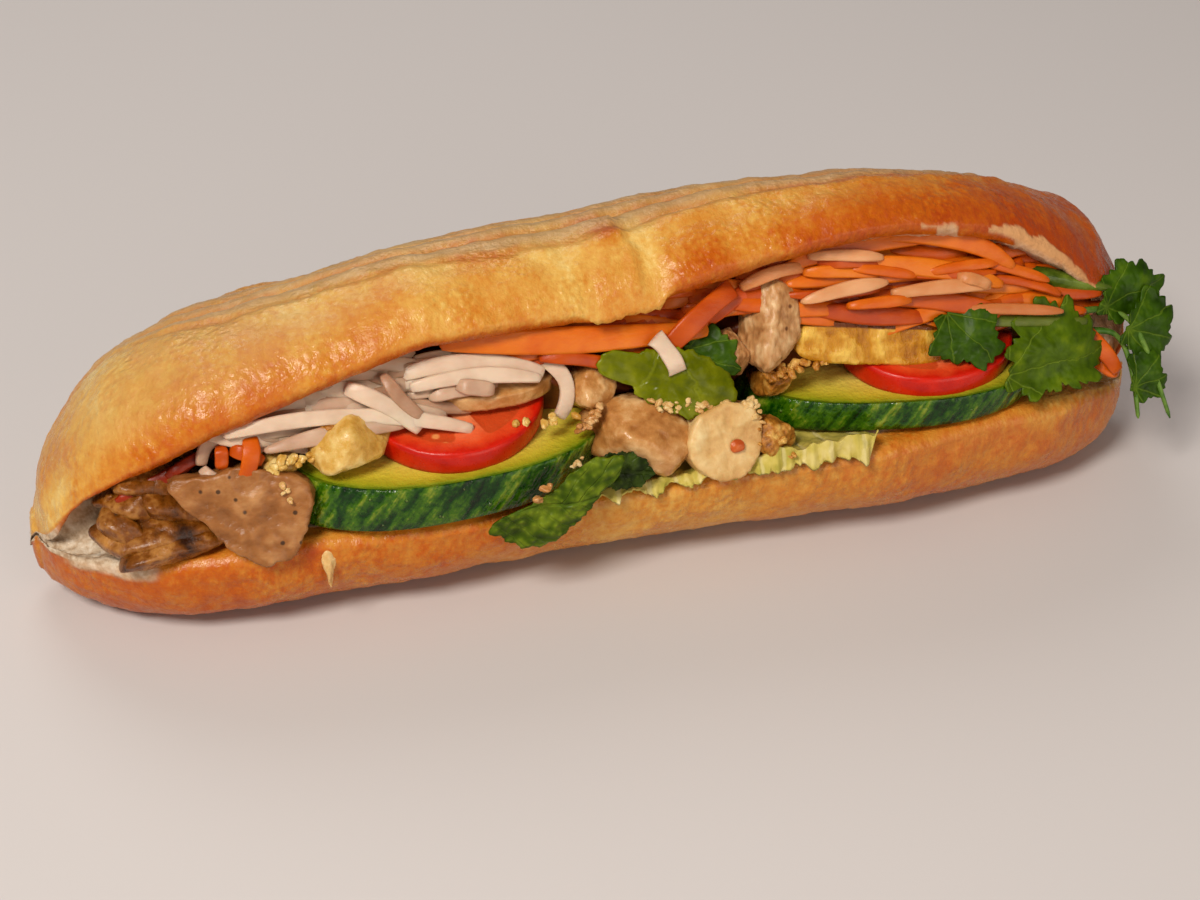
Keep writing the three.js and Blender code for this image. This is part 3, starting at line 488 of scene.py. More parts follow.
def finished(name, bm, material, slot, node=None, matrix=Matrix()):
    """Puts a piece into the part's frame, smooth shaded, in its finish, standing for its node."""
    bmesh.ops.transform(bm, matrix=TO_PART @ matrix, verts=bm.verts)
    mesh = bpy.data.meshes.new(name)
    bm.to_mesh(mesh)
    bm.free()
    for face in mesh.polygons:
        face.use_smooth = True
    piece = linked(name, mesh)
    mesh.materials.append(material)
    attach(piece, "root")
    if node:
        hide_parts(node)


def merged(bm, verts=None):
    bmesh.ops.remove_doubles(bm, verts=verts or bm.verts, dist=MERGE_WITHIN)


def faced(bm):
    """Turns every face out."""
    bmesh.ops.recalc_face_normals(bm, faces=bm.faces)
    return bm


def closed(bm):
    """Fills any open ends and turns every face out."""
    bmesh.ops.holes_fill(bm, edges=[e for e in bm.edges if e.is_boundary], sides=0)
    return faced(bm)


def thickened(bm, thick):
    bmesh.ops.solidify(bm, geom=bm.faces, thickness=thick)
    return faced(bm)


def layer(bm, name):
    return bm.verts.layers.float.get(name) or bm.verts.layers.float.new(name)


def sheet_grid(bm, columns, rows, where):
    """A grid of faces whose corners are put where a function of (u, v), each 0 to 1, says."""
    made = bmesh.ops.create_grid(bm, x_segments=columns, y_segments=rows, size=1)["verts"]
    for v in made:
        u = round((v.co.x + 1) / 2 * columns) / columns
        w = round((v.co.y + 1) / 2 * rows) / rows
        v.co = where(u, w, v)
    return made


def turned(profile, steps):
    """A shape spun about Z from a profile of (radius, height)."""
    bm = bmesh.new()
    verts = [bm.verts.new((r, 0, z)) for r, z in profile]
    line = verts + [bm.edges.new(pair) for pair in zip(verts, verts[1:])]
    bmesh.ops.spin(bm, geom=line, cent=(0, 0, 0), axis=(0, 0, 1), angle=tau, steps=steps, use_merge=True)
    merged(bm)
    return faced(bm)


GOLDEN_ANGLE = pi * (3 - sqrt(5))
LUMP_DETAIL = 5
FACET_SWELL = 1.1
CORNER_SOFT = 0.07


def oval(a, b, power=2.0):
    return lambda t: (abs(cos(t) / a) ** power + abs(sin(t) / b) ** power) ** (-1 / power)


def cornered(corners):
    """An outline through corners given about its middle: straight sides, and corners a little rounded."""
    points = sorted((atan2(y, x), x, y) for x, y in corners)

    def straight(t):
        angle = remainder(t, tau)
        after = next((i for i, point in enumerate(points) if point[0] > angle), 0)
        _, bx, by = points[after]
        _, ax, ay = points[after - 1]
        return (ax * by - bx * ay) / (cos(t) * (by - ay) - sin(t) * (bx - ax))

    return lambda t: (straight(t - CORNER_SOFT) + straight(t) + straight(t + CORNER_SOFT)) / 3


def slice_of(outline, thick, ease, rings, seed, steps=144, skew=0.0, cells=0, bumpy=0.15, ragged=0.0):
    """A slice with a skin round its edge, and seed cells if asked. rim grows from 0 in the middle to 1."""
    h = thick / 2
    faces = [i / rings for i in range(rings)]
    wall = [-0.92, -0.6, -0.3, 0, 0.3, 0.6, 0.92]
    profile = [(r * (1 - ease), -h) for r in faces] + [(1 - ease, -h)]
    profile += [(1 + 0.012 * (1 - t * t), h * t) for t in wall]
    profile += [(1 - ease, h)] + [(r * (1 - ease), h) for r in reversed(faces)]
    bm = turned(profile, steps)
    rim, skin, cell, height = (layer(bm, key) for key in ("rim", "skin", "cell", "height"))
    for v in bm.verts:
        share = hypot(v.co.x, v.co.y)
        angle = atan2(v.co.y, v.co.x)
        v[rim] = min(1.0, share)
        v[skin] = 1.0 if share > 1 - ease * 0.5 else 0.0
        if cells and share < 0.99:
            wedge = abs(sin(cells * angle / 2 + 0.6))
            v[cell] = smooth(0.35, 0.75, wedge) * smooth(0.28, 0.4, share) * (1 - smooth(0.72, 0.86, share))
        z = v.co.z
        radius = outline(angle) * share * (1 + 0.012 * sin(3 * angle + seed))
        edge = (cos(angle) * 9, sin(angle) * 9, z * 0.7)
        radius *= 1 + ragged * share * rough(edge, 2.4, seed)
        v.co = Vector((radius * cos(angle) + skew * z, radius * sin(angle), z))
        swell = rough(v.co, 5, seed)
        # Raised parts get a higher height, which the meat finish paints lighter: painted light.
        v[height] = 0.5 + 0.45 * swell
        v.co.z += bumpy * swell * (1 if share < 0.98 else 0.3)
        v.co.z -= 0.3 * v[cell] * (1 if z > 0 else -1)
    return bm


def lump(size, seed, uneven, facets=15, sharp=12, torn=0.26, grain=3.4, folds=0.0, fibre=0.0):
    """A torn piece of meat or egg: a body of soft-edged facets, with creases, and fibres along its y."""
    stream = draws(seed)
    sides = []
    for i in range(facets):
        up = 1 - (2 * i + 1) / facets
        angle = i * GOLDEN_ANGLE + 0.5 * next(stream)
        flat = sqrt(1 - up * up)
        away = 1 - uneven * (1 + next(stream))
        sides.append((Vector((flat * cos(angle), flat * sin(angle), up)), away))
    bm = bmesh.new()
    bmesh.ops.create_icosphere(bm, subdivisions=LUMP_DETAIL, radius=1)
    height = layer(bm, "height")
    half = [v / 2 for v in size]
    for v in bm.verts:
        ray = v.co.normalized()
        reach = sum(max(0.0, side.dot(ray) / away) ** sharp for side, away in sides)
        r = FACET_SWELL * reach ** (-1 / sharp)
        v.co = Vector([h * r * c for h, c in zip(half, ray)])
    bm.normal_update()
    for v in bm.verts:
        coarse = rough(v.co, grain, seed)
        fine = rough(v.co, grain * 0.35, seed + 3)
        thread = rough((v.co.x * 2.4, v.co.y * 0.5, v.co.z * 2.4), 3, seed + 5)
        crease = 1 - min(1, 3.6 * abs(rough((v.co.x * 0.6, v.co.y, v.co.z), grain * 1.9, seed + 8, 2)))
        # height, which the meat finish turns into colour, rises on the lumps and falls in the creases:
        # painted light and shade.
        v[height] = 0.56 + 0.4 * coarse + 0.15 * fine + 0.5 * fibre * thread
        v[height] -= 0.6 * crease**2 * min(1, folds)
        v.co += v.normal * (torn * (coarse + 0.35 * fine) + fibre * thread - folds * crease**2)
    return bm


LEAF_THICK, LEAF_RINGS, LEAF_STEPS = 0.42, 16, 240


def leaf(outline, wave, stalk, seed):
    """A thin waved leaf. leaf_x and leaf_y are each vertex's place on the flat leaf, from its stalk end."""
    bm = turned([(i / LEAF_RINGS, 0) for i in range(LEAF_RINGS + 1)], LEAF_STEPS)
    lx, ly = layer(bm, "leaf_x"), layer(bm, "leaf_y")
    for v in bm.verts:
        share = hypot(v.co.x, v.co.y)
        angle = atan2(v.co.y, v.co.x)
        r = outline(angle) * share
        x, y = r * cos(angle), r * sin(angle)
        v[lx], v[ly] = x - stalk[0], y - stalk[1]
        v.co = Vector((x, y, wave(x, y) + 0.3 * rough((x, y, seed), 3.2, seed)))
    return thickened(bm, LEAF_THICK)


def strip(bm, a, b, bow, wide, thick, tone, tuck=1.3, steps=16, sides=12, twist=0.0, point=0.5):
    """A grated strip between two places (x, s, d) of the mouth: flat, square cut and thin at its ends."""
    start, end = in_mouth(*a), in_mouth(*b)
    run = end - start
    across = OUT.cross(run).normalized()
    shade = layer(bm, "tone")
    point = min(1.0, point + 0.3 * sin(tone * 17))

    def where(u, v, vert):
        t = 0.5 - 0.5 * cos(pi * u)
        hump = 4 * t * (1 - t)
        middle = start + run * t + across * (bow * hump) - OUT * (tuck * (1 - hump) ** 2)
        middle += OUT * (0.3 * sin(7 * t + tone * 9) * hump)
        ahead = (run + across * (bow * 4 * (1 - 2 * t))).normalized()
        side = OUT.cross(ahead).normalized()
        face = ahead.cross(side).normalized()
        angle = tau * v
        turn = twist * (t - 0.5)
        cut = 0.45 if u in (0, 1) else 1.0
        narrow = lerp(1, sqrt(hump + 0.02), point) * (1 + 0.05 * sin(9 * t + tone * 9))
        corner = [copysign(abs(c) ** 0.42, c) for c in (cos(angle), sin(angle))]
        p = corner[0] * wide / 2 * cut * narrow
        q = corner[1] * thick / 2 * cut * (1 - 0.12 * cos(angle))
        vert[shade] = tone
        return middle + side * (p * cos(turn) - q * sin(turn)) + face * (p * sin(turn) + q * cos(turn))

    merged(bm, sheet_grid(bm, steps, sides, where))


# ---------------- the bread
STATIONS = 330
TIP_RINGS = 6
TIP_REACH = 1.6
RING_PARTS = (("base", 70), ("top", 104), ("upper cut", 30), ("lower cut", 30))
RING_POINTS = sum(count for _, count in RING_PARTS)
CRACK_AT = 3.4
# Where pale bands of painted highlight run down the front crust.
PALE_BANDS = (-104, -64, -38, -13, 27)
CRACK_LEAN = -0.12
FLAKE_FROM, FLAKE_TO, FLAKE_HANG = -12.0, 10.0, 2.6
# Where the left tip's cut is torn down to crumb, and where its lips close over it.
TORN_FROM, TORN_TO = -92, -104
CLOSING_FROM, CLOSED_AT = -112.5, -118.5


def signed_power(v, power):
    return copysign(abs(v) ** (2 / power), v)


def rounded(inward, radius):
    """How far a rounded lip of the given radius falls short of its corner at a distance inward."""
    if inward >= radius:
        return 0.0
    return radius - sqrt(radius * radius - (radius - inward) ** 2)


def crown_relief(x, y, half):
    """Score grooves behind the ridge, the swelling at the back and the flaked step across the front."""

    def near(back):
        return smooth(-112, -92, x - 0.7 * back) * (1 - smooth(90, 106, x + 0.7 * back))

    wander = 0.8 * sin(x * 0.031 + 0.6) + 0.6 * sin(x * 0.083) + 0.8 * ripple(x / 9, 2)
    ridge = ridge_at(x) + 0.5 * ripple(x / 5, 7)
    relief = 0.8 * near(0) * smooth(ridge - 5, ridge - 1, y) * (1 - smooth(ridge, ridge + 2, y))
    groove = sum(near(back) * bell(y, ridge + back + wander, SCORE_WIDE) for back in SCORES_BEHIND)
    relief += 1.5 * bell(x, -75, 12) * bell(y, 14, 12) - SCORE_DEEP * groove
    step = CRACK_AT + CRACK_LEAN * (y + half) + 1.1 * ripple(y / 4, 3.1)
    front = bell(y, -half * 0.86, 15)
    relief += 0.9 * front * smooth(step - 14, step - 3, x) * (1 - smooth(step - 0.4, step + 0.4, x))
    relief -= 0.5 * front * bell(x, step + 3, 3.2)
    stripe = near(0) * smooth(ridge - 1.5, ridge + 1.5, y) * (1 - smooth(ridge + 22, ridge + 32, y))
    return relief, min(1.0, groove), stripe, step, front


def flake_hang(x, above, deep):
    """How far the torn flake of the upper lip hangs down, which ends at a depth above or behind the lip."""
    torn = 1.1 + 0.6 * ripple(x / 2.2, 9)
    reach = smooth(FLAKE_FROM, FLAKE_FROM + 6, x) * (1 - smooth(FLAKE_TO - 5, FLAKE_TO, x))
    return FLAKE_HANG * torn * reach * max(0.0, 1 - above / deep) ** 3


def bread_point(x, part, t, shrink, end):
    """A point of the roll's outline at x, with its crumb, its browning, and its pale flour and painted
    sheen.
    """
    half, height, slit, opening, shift, bulge, depth = roll_at(x)
    phi = radians(opening)
    c, s = cos(phi), sin(phi)
    hinge = half * HINGE
    lift = TIP_LIFT * smooth(LIFT_FROM, LIFT_TO, abs(x)) ** 2
    low_lip, high_lip = (lip * smooth(0, FULL_LIP_AT, half) for lip in (LOWER_LIP, UPPER_LIP))

    def opened(y, z):
        dy, dz = y - hinge, z - slit
        return hinge + dy * c + dz * s + shift, slit - dy * s + dz * c

    crumb, dust, toast = 0.0, 0.0, 0.5
    brown_end = 0.14 * smooth(10, 60, x) + 0.26 * smooth(60, 106, x)
    torn_left = smooth(TORN_FROM, TORN_TO, x + 5 * ripple(t * 9, x / 6, 4))
    closing = smooth(CLOSING_FROM, CLOSED_AT, x)
    inner = min(hinge - min(JOINT, half * 0.45), -half * BASE_WIDTH + depth)
    if part == "base":
        angle = pi * t
        front = sin(angle) * sqrt(max(0.0, cos(angle)))
        relief = 0.25 * sin(x * 0.19) * cos(half * cos(angle) * 0.31)
        y = -(half * BASE_WIDTH + relief) * signed_power(cos(angle), BASE_POWER) - bulge * front + shift
        z = max(0.0, slit - (slit + FLAT_SOLE) * signed_power(sin(angle), BASE_POWER))
        z += lift * (1 - z / slit)
        if y < shift:
            z *= (slit - low_lip * (z / slit) ** 4) / slit
        left = 1 - smooth(-40, 20, x)
        # Less browned in the middle of the lower half: painted light where the filling shades it.
        toast = 0.54 + 0.15 * left - 0.16 * bell(x, -4, 40) + 0.14 * smooth(5, 0, z)
        toast += 0.22 * bell(x, -68, 3) * smooth(0.1, 0, t) + 0.1 * smooth(20, 80, x)
        dust = 0.1 * smooth(-10, 70, x) * (1 - smooth(0.3, 0.5, t))
        crumb = 0.8 * torn_left * (1 - smooth(0.0, 0.055, t)) * (1 - closing)
        toast -= 0.16 * smooth(80, 90, x) * (1 - smooth(94, 102, x)) * (1 - smooth(0.0, 0.04, t))
    elif part == "top":
        angle = pi * (t + 0.045 * sin(tau * t))
        flat_y = -half * signed_power(cos(angle), TOP_POWER)
        relief, groove, stripe, step, near = crown_relief(x, flat_y, half)
        relief *= smooth(0, 0.2, sin(angle))
        y = -(half + relief) * signed_power(cos(angle), TOP_POWER)
        z = slit + (height - slit + relief) * signed_power(sin(angle), TOP_POWER)
        above = z - slit
        front = smooth(half * 0.4, -half * 0.1, flat_y)
        if y < 0:
            z += high_lip * max(0.0, 1 - above / (height - slit)) ** 4 - flake_hang(x, above, height - slit)
        y, z = opened(y, z)
        # Paler towards the left end: painted sheen.
        toast = 0.44 + brown_end - 0.08 * smooth(-50, -100, x) + 0.16 * groove
        toast += 0.12 * smooth(0, 30, flat_y)
        if flat_y < 0:
            # Darker towards the lip: browning, and painted shade under the lip's curve.
            lip_brown = 0.12 * (1 - smooth(0, 10, above)) + 0.16 * (1 - smooth(4, 20, above))
            middle = smooth(-62, -44, x) * (1 - smooth(2, 10, x))
            toast += lip_brown * (1 - 0.8 * middle) - 0.02 * middle
            # Pale bands: painted highlight.
            toast -= 0.15 * sum(bell(x, band, 6) for band in PALE_BANDS)
            # A paler line just in front of the ridge: painted highlight.
            toast -= 0.12 * bell(flat_y, ridge_at(x) - 2, 5)
            toast += 0.34 * near * bell(x, step - 3.4, 2.6) * smooth(12, 17, above)
            toast -= 0.24 * near * bell(x, step + 3, 3)
            # Paler at the left tip, near the lip: pale crust, with a painted highlight.
            toast -= 0.45 * bell(x, -116.5, 5) * (1 - smooth(4, 12, above))
            ragged = 1.8 * rough((x, y, z), 5, 3)
            reach = 1.6 * bell(x, 66, 4) + 4.4 * bell(x, 87, 7) + 2.4 * bell(x, 98, 5)
            crumb = 0.7 * smooth(1.2, -1, above - reach + ragged) if reach > 0.5 else 0.0
        # Flour along the scored crown, and a painted sheen on the left of the front crust.
        dust = max(stripe * (1 - 0.8 * groove), 0.4 * smooth(-30, -80, x) * smooth(3, 14, above) * front)
    elif part == "upper cut":
        y = lerp(-half, inner, t)
        z = slit + 1.6 * sin(pi * t) + 0.6 * smooth(0.8, 1, t) + rounded(y + half, high_lip)
        z -= flake_hang(x, y + half, 6.0)
        hidden = 5.0 - 5.0 * max(bell(x, 68, 5), smooth(78, 86, x)) - 3.0 * torn_left * (1 - closing)
        crumb = max(closing, smooth(hidden, hidden + 2, y + half + rough((x, y, z), 4, 3)))
        # The lid's underside takes a high toast, so its crumb comes out darker: painted shade.
        toast = 0.8 - 0.3 * closing
        gap = (hinge - y) * s
        y, z = opened(y, z)
        z -= 0.7 * gap * closing * smooth(0, 0.08, t)
    else:
        y = lerp(-half * BASE_WIDTH, inner, t)
        inward = y + half * BASE_WIDTH
        z = slit - 1.8 * sin(pi * t) - 0.6 * smooth(0.8, 1, t) - rounded(inward, low_lip)
        z += 0.24 * (hinge - y) * s * closing * smooth(0, 0.08, t)
        y += shift
        crumb = max(smooth(5.5, 7.5, inward), torn_left)
        toast = 0.54 - 0.2 * smooth(84, 94, x)
    middle_y, middle_z = shift, height * 0.42 + lift * 0.5
    y = lerp(middle_y, y, shrink)
    z = lerp(middle_z, z, shrink)
    return Vector((x + end, y, z)), crumb, toast, dust


def ring_place(index):
    """Which part of the outline a ring point is in, and how far along it runs from the lip or the hinge."""
    for part, count in RING_PARTS:
        if index < count:
            if part == "base":
                return part, (index / count) ** 1.25
            if part == "top":
                return part, 1 - index / (count - 1)
            if part == "upper cut":
                return part, (index + 1) / count
            return part, 1 - index / count
        index -= count
    return "base", 0.0


def make_bread():
    stations = []
    for k in range(TIP_RINGS):
        a = pi / 2 * k / TIP_RINGS
        stations.append((-HALF_LENGTH, sin(a) * 0.98 + 0.02, -TIP_REACH * cos(a)))
    for i in range(STATIONS):
        u = 2 * i / (STATIONS - 1) - 1
        stations.append((HALF_LENGTH * (0.62 * sin(pi / 2 * u) + 0.38 * u), 1.0, 0.0))
    stations += [(-x, shrink, -end) for x, shrink, end in reversed(stations[:TIP_RINGS])]
    bm = bmesh.new()
    crumb, toast, dust = (layer(bm, name) for name in ("crumb", "toast", "dust"))
    last = len(stations) - 1

    def where(u, v, vert):
        x, shrink, end = stations[round(u * last)]
        part, t = ring_place(round(v * RING_POINTS) % RING_POINTS)
        place, vert[crumb], vert[toast], vert[dust] = bread_point(x, part, t, shrink, end)
        return place

    sheet_grid(bm, last, RING_POINTS, where)
    merged(bm)
    closed(bm)
    lips = [v for v in bm.verts if v[crumb] > 0.3]
    bmesh.ops.smooth_vert(bm, verts=lips, factor=0.5, use_axis_x=True, use_axis_y=True, use_axis_z=True)
    bm.normal_update()
    for v in bm.verts:
        p = v.co
        if p.z < 0.05 and v[crumb] == 0:
            continue
        crust_swell = 0.5 * rough(p, 16, 1) + 0.2 * rough(p, 4, 7) + 0.1 * rough(p, 1.6, 4)
        crumb_swell = 0.4 * rough(p, 4.5, 5) + 0.22 * rough(p, 1.6, 2)
        swell = lerp(crust_swell, crumb_swell, v[crumb])
        v.co = p + v.normal * swell
        v.co.z = max(0.0, v.co.z)
    finished("bread_roll", bm, crust_finish(), "crust", "bread")


make_bread()

# ---------------- lettuce under the filling
LETTUCE_FROM, LETTUCE_TO, LETTUCE_BACK = -11.0, 49.0, -12.0
LETTUCE_FAN, RIB_SPREAD = 3.0, 0.1
LETTUCE_THICK, LETTUCE_COLUMNS, LETTUCE_ROWS = 0.5, 220, 44


def make_lettuce():
    bm = bmesh.new()
    lx, ly = layer(bm, "leaf_x"), layer(bm, "leaf_y")

    def where(u, v, vert):
        x = lerp(LETTUCE_FROM, LETTUCE_TO, u)
        half, _, slit, _, shift, _, _ = roll_at(x)
        lip = shift - half * BASE_WIDTH
        edge = smooth(0.55, 1, v)
        over = smooth(0.84, 1, v)
        frill = 0.6 * sin(x * 0.72) + 0.5 * sin(x * 1.63 + 1) + 0.2 * sin(x * 2.6 + 5 * v)
        frill += 2.4 * ripple(x / 4, 3 * v)
        y = lerp(LETTUCE_BACK, lip, min(1, v / 0.84)) - over * (1.5 + 0.6 * frill)
        dip = slit - 1.8 * sin(pi * min(1, max(0, (y - lip) / 62)))
        right = smooth(18, 30, x)
        hang = 0.8 + 0.8 * right + 0.4 * sin(x * 0.72 + 1.2) + 1.8 * ripple(x / 5, 5)
        ruffle = (0.5 + 0.3 * right) * frill + 0.6 + 3.2 * right
        z = dip + 1.2 + edge * (0.5 + ruffle)
        z -= over * (hang + ruffle) * smooth(0, 0.1, u) * smooth(1, 0.975, u)
        vert[lx], vert[ly] = LETTUCE_FAN, (x - 20) * RIB_SPREAD
        fold = 1.7 * over * rough((x, 6 * v, 0), 3.2, 3)
        return Vector((x, y - fold, z + 0.3 * rough((x, y, 0), 2.5, 3)))

    sheet_grid(bm, LETTUCE_COLUMNS, LETTUCE_ROWS, where)
    thickened(bm, LETTUCE_THICK)
    finish = leaf_finish("lettuce_leaf", "8e8822", "c5b458", "e5d494", "f2e6be", 22.0, 0.1)
    finished("lettuce_frill", bm, finish, "lettuce", "lettuce")


make_lettuce()

# ---------------- cucumber and tomato
cucumber, tomato = cucumber_finish(), tomato_finish()
CUCUMBER_SKEW = 0.32
TOMATO_CELLS = 5
# vegetable, side, oval (half length, half depth, squareness), thickness, seed, place, turns
SLICES = (
    ("cucumber", "left", (33, 19, 2.2), 10.2, 2, (-39, -16.6, 30), (0, 2)),
    ("cucumber", "right", (33, 17.6, 2.2), 7, 4, (59, -15.4, 30.2), (-9, 0)),
    ("tomato", "left", (18.6, 18.6, 2), 5, 1, (-35.5, -14.8, 39), (0, 7)),
    ("tomato", "right", (18.6, 17.6, 2), 5, 3, (67.5, -15.6, 37.2), (0, 6)),
)
for slot, side, shape, thick, seed, place, turns in SLICES:
    if slot == "tomato":
        piece = slice_of(oval(*shape), thick, 0.03, 24, seed, cells=TOMATO_CELLS)
    else:
        piece = slice_of(oval(*shape), thick, 0.02, 20, seed, skew=CUCUMBER_SKEW)
    material = tomato if slot == "tomato" else cucumber
    finished(f"{slot}_slice_{side}", piece, material, slot, f"{slot}_{side}", lying(place, *turns))

# ---------------- meats and other chunks
braised = meat_finish("braised_meat", "2e1200", "78420c", "b8803e", 3.2, gloss=0.3, rich=1.1)
chicken = meat_finish("cooked_chicken", "905622", "bb8246", "ddb37b", 3.6, gloss=0.22, depth=0.25)
shredded = meat_finish("torn_chicken", "7a461a", "bc8a56", "e4c290", 2.6, "5a2a0a", grain=(1, 3, 3))
peppered = meat_finish(
    "peppered_meat", "6e3e16", "986130", "bc8854", 2.6, "241208", grain=(3, 1, 1.5), rich=0.9
)
pale = meat_finish("pale_meat", "b67f3e", "d5ac6c", "e9d098", 3.4, rich=0.9)
egg = meat_finish("fried_egg", "a8701a", "cda04a", "e9d08a", 3.8, gloss=0.28)
egg_gold = meat_finish(
    "golden_egg", "884602", "c4861a", "f0c85c", 3.0, gloss=0.14, depth=0.9, grain=(1, 1, 4), edge="642e04"
)
scrap = meat_finish("fried_scrap", "602e06", "b47424", "e6ba64", 1.8, depth=0.4)

BRAISED_LOW, BRAISED_HIGH = "braised_meat_low", "braised_meat_high"
# name, node, place in the mouth, size, spin and pitch, unevenness, seed, folds, fibre
BRAISED_LUMPS = (
    ("braised_lump_low", BRAISED_LOW, (-96, 7.6, -12), (24, 10, 13), (-6, 0), 0.14, 3, 0.12, 0),
    ("braised_lump_high", BRAISED_HIGH, (-95.8, 15.8, -15.5), (21, 12, 17), (10, 0), 0.14, 8, 0.12, 0),
    ("braised_strand_top", BRAISED_HIGH, (-96, 18, -10.4), (17, 6.4, 8), (-16, 8), 0.1, 17, 0.08, 0),
    ("braised_strand_middle", BRAISED_HIGH, (-92.6, 13, -9), (14, 6, 8), (-26, 6), 0.1, 27, 0.08, 0),
    ("braised_strand_left", BRAISED_LOW, (-102.8, 9.6, -10.5), (12.5, 6.4, 8), (-38, 0), 0.1, 19, 0.08, 0),
    ("braised_strand_low", BRAISED_LOW, (-95.4, 5, -8.4), (18.5, 5.8, 8), (4, 0), 0.1, 21, 0.08, 0),
)
CHICKEN_LUMPS = (
    ("chicken_lump_large", "chicken_large", (0.8, 13, -3), (22, 15.6, 17.6), (-22, 0), 0.14, 11, 0.08, 0),
    ("chicken_lump_small", "chicken_small", (-7.8, 24.4, -5), (10.4, 10.4, 14), (10, 0), 0.16, 4, 0.1, 0),
)
EGG_LUMPS = (
    ("egg_lump", "egg_chunk", (-58.5, 20.4, -2), (17, 10.2, 15), (6, 24), 0.12, 6, 0, 0),
    ("scrap_left", "fried_scrap_left", (-73, 18.6, -6.4), (11.4, 7.6, 12.4), (24, 0), 0.2, 9, 0.3, 0.2),
)
SCRAP_LUMPS = (
    ("scrap_middle", "fried_scrap_middle", (27.4, 7.8, -0.4), (10, 10.4, 10.6), (20, 0), 0.2, 12, 0.3, 0.1),
    ("scrap_right", "fried_scrap_right", (31.6, 18.8, -8), (10.6, 7, 12.6), (4, 0), 0.2, 7, 0.4, 0.1),
)
SHREDDED_LUMPS = (
    (
        "chicken_shred_tall", "shredded_chicken",
        (31, 30.8, -2), (12.6, 21, 14), (-14, 0), 0.16, 23, 0.4, 0.2,
    ),
    (
        "chicken_shred_small", "shredded_chicken_small",
        (22, 26, -4.5), (8, 11, 12.6), (6, 0), 0.2, 5, 0.3, 0.16,
    ),
)
SOFT_STRANDS = {"facets": 10, "sharp": 8, "grain": 5.2}
for rows, material, slot in (
    (BRAISED_LUMPS, braised, "braised_meat"),
    (CHICKEN_LUMPS, chicken, "chicken"),
    (EGG_LUMPS, egg, "egg"),
    (SCRAP_LUMPS, scrap, "fried_scrap"),
    (SHREDDED_LUMPS, shredded, "chicken"),
):
    for name, node, place, size, (spin, pitch), uneven, seed, folds, fibre in rows:
        body = SOFT_STRANDS if material is braised else {}
        piece = lump(size, seed, uneven, folds=folds, fibre=fibre, **body)
        finished(name, piece, material, slot, node, in_face(place, spin, pitch))

PEPPERED_CORNERS = (
    (-15, 9), (-6, 8.6), (0.5, 9.8), (11.5, 5.6), (13, 2.4), (11, -5),
    (7, -10), (2, -11), (-4.5, -6.6), (-8, -1), (-13, 4.6),
)
ROUND_CORNERS = (
    (-8, 1.6), (-5.6, 6), (0.6, 8), (6.8, 6.4), (8.3, 1.6),
    (7.4, -3.6), (4, -7.4), (-1, -8.2), (-5.2, -6.4), (-7.8, -2.6),
)
piece = slice_of(cornered(ROUND_CORNERS), 5.2, 0.06, 12, 5, steps=120, bumpy=0.4, ragged=0.04)
finished("pale_round_slice", piece, pale, "pale_meat", "round_slice", in_face((16.6, 9.2, 1.4), 0, 6, -6))
piece = slice_of(cornered(PEPPERED_CORNERS), 6, 0.05, 18, 7, steps=180, bumpy=0.6, ragged=0.05)
place = in_face((-79.5, 10, -3.6), 0, 8, 8)
finished("pepper_slice", piece, peppered, "sliced_meat", "peppered_slice", place)
band = slice_of(oval(17, 4.6, 3.4), 11, 0.1, 12, 9, steps=160, bumpy=0.6, ragged=0.04)
browned = layer(band, "skin")
for v in band.verts:
    v[browned] = smooth(2.4, 3.8, v.co.y)
finished("egg_band", band, egg_gold, "egg", "egg_strip", in_face((52.6, 24.6, -5), -10, 10))
piece = slice_of(oval(12.6, 8, 2.5), 3.2, 0.06, 12, 11, steps=110, bumpy=0.3, ragged=0.03)
finished("thin_slice", piece, chicken, "sliced_meat", "thin_meat_slice", lying((-27, -16, 44.2), 4, 5))

# Crumbs and torn bits on the filling: from one place to another, how many, how far they stray, their size
BITS = (
    ("curd_crumbs", (3, 18.6, 3.4), (24.4, 14.6, 3.6), 34, 1.2, 1.9, pale, "pale_meat"),
    ("curd_crumbs_side", (22.6, 17, 3), (24.6, 12, 3.4), 12, 0.8, 2.0, pale, "pale_meat"),
    ("crumbs_on_mint", (-25.4, 4, 6.4), (-21.4, 6, 6.2), 4, 0.5, 2.4, chicken, "chicken"),
    ("crumbs_on_skin", (-16, 8.4, 3.4), (-12.6, 10.8, 3.4), 4, 0.5, 1.6, pale, "pale_meat"),
    ("golden_crumbs", (-24.8, 18.6, 1.4), (-13, 19.2, 1.6), 12, 0.8, 1.7, egg, "egg"),
    ("tan_crumbs", (-13.4, 16, 1.4), (-7.5, 19.4, 2), 16, 1.0, 2.0, chicken, "chicken"),
    ("brown_crumbs", (28.6, 20.4, -0.6), (46, 22.4, -1.6), 34, 1.2, 2.2, scrap, "fried_scrap"),
    ("dark_crumbs", (-106, 14.4, -12), (-90, 21.6, -10), 30, 1.6, 3.0, braised, "braised_meat"),
    ("egg_top_crumbs", (-62.6, 24.6, 1.6), (-58.6, 25.4, 1.2), 7, 0.6, 1.8, scrap, "fried_scrap"),
    ("yellow_crumbs", (-74.5, 18, 0.4), (-66, 19.6, 0.6), 16, 1.2, 2.2, egg, "egg"),
    ("slice_edge_crumbs", (-72.6, 15, 1), (-71.4, 10.4, 1.2), 5, 0.5, 1.6, pale, "pale_meat"),
    ("lettuce_crumbs", (24, 9, 2.6), (31, 5, 2.4), 14, 1.6, 2.0, scrap, "fried_scrap"),
)


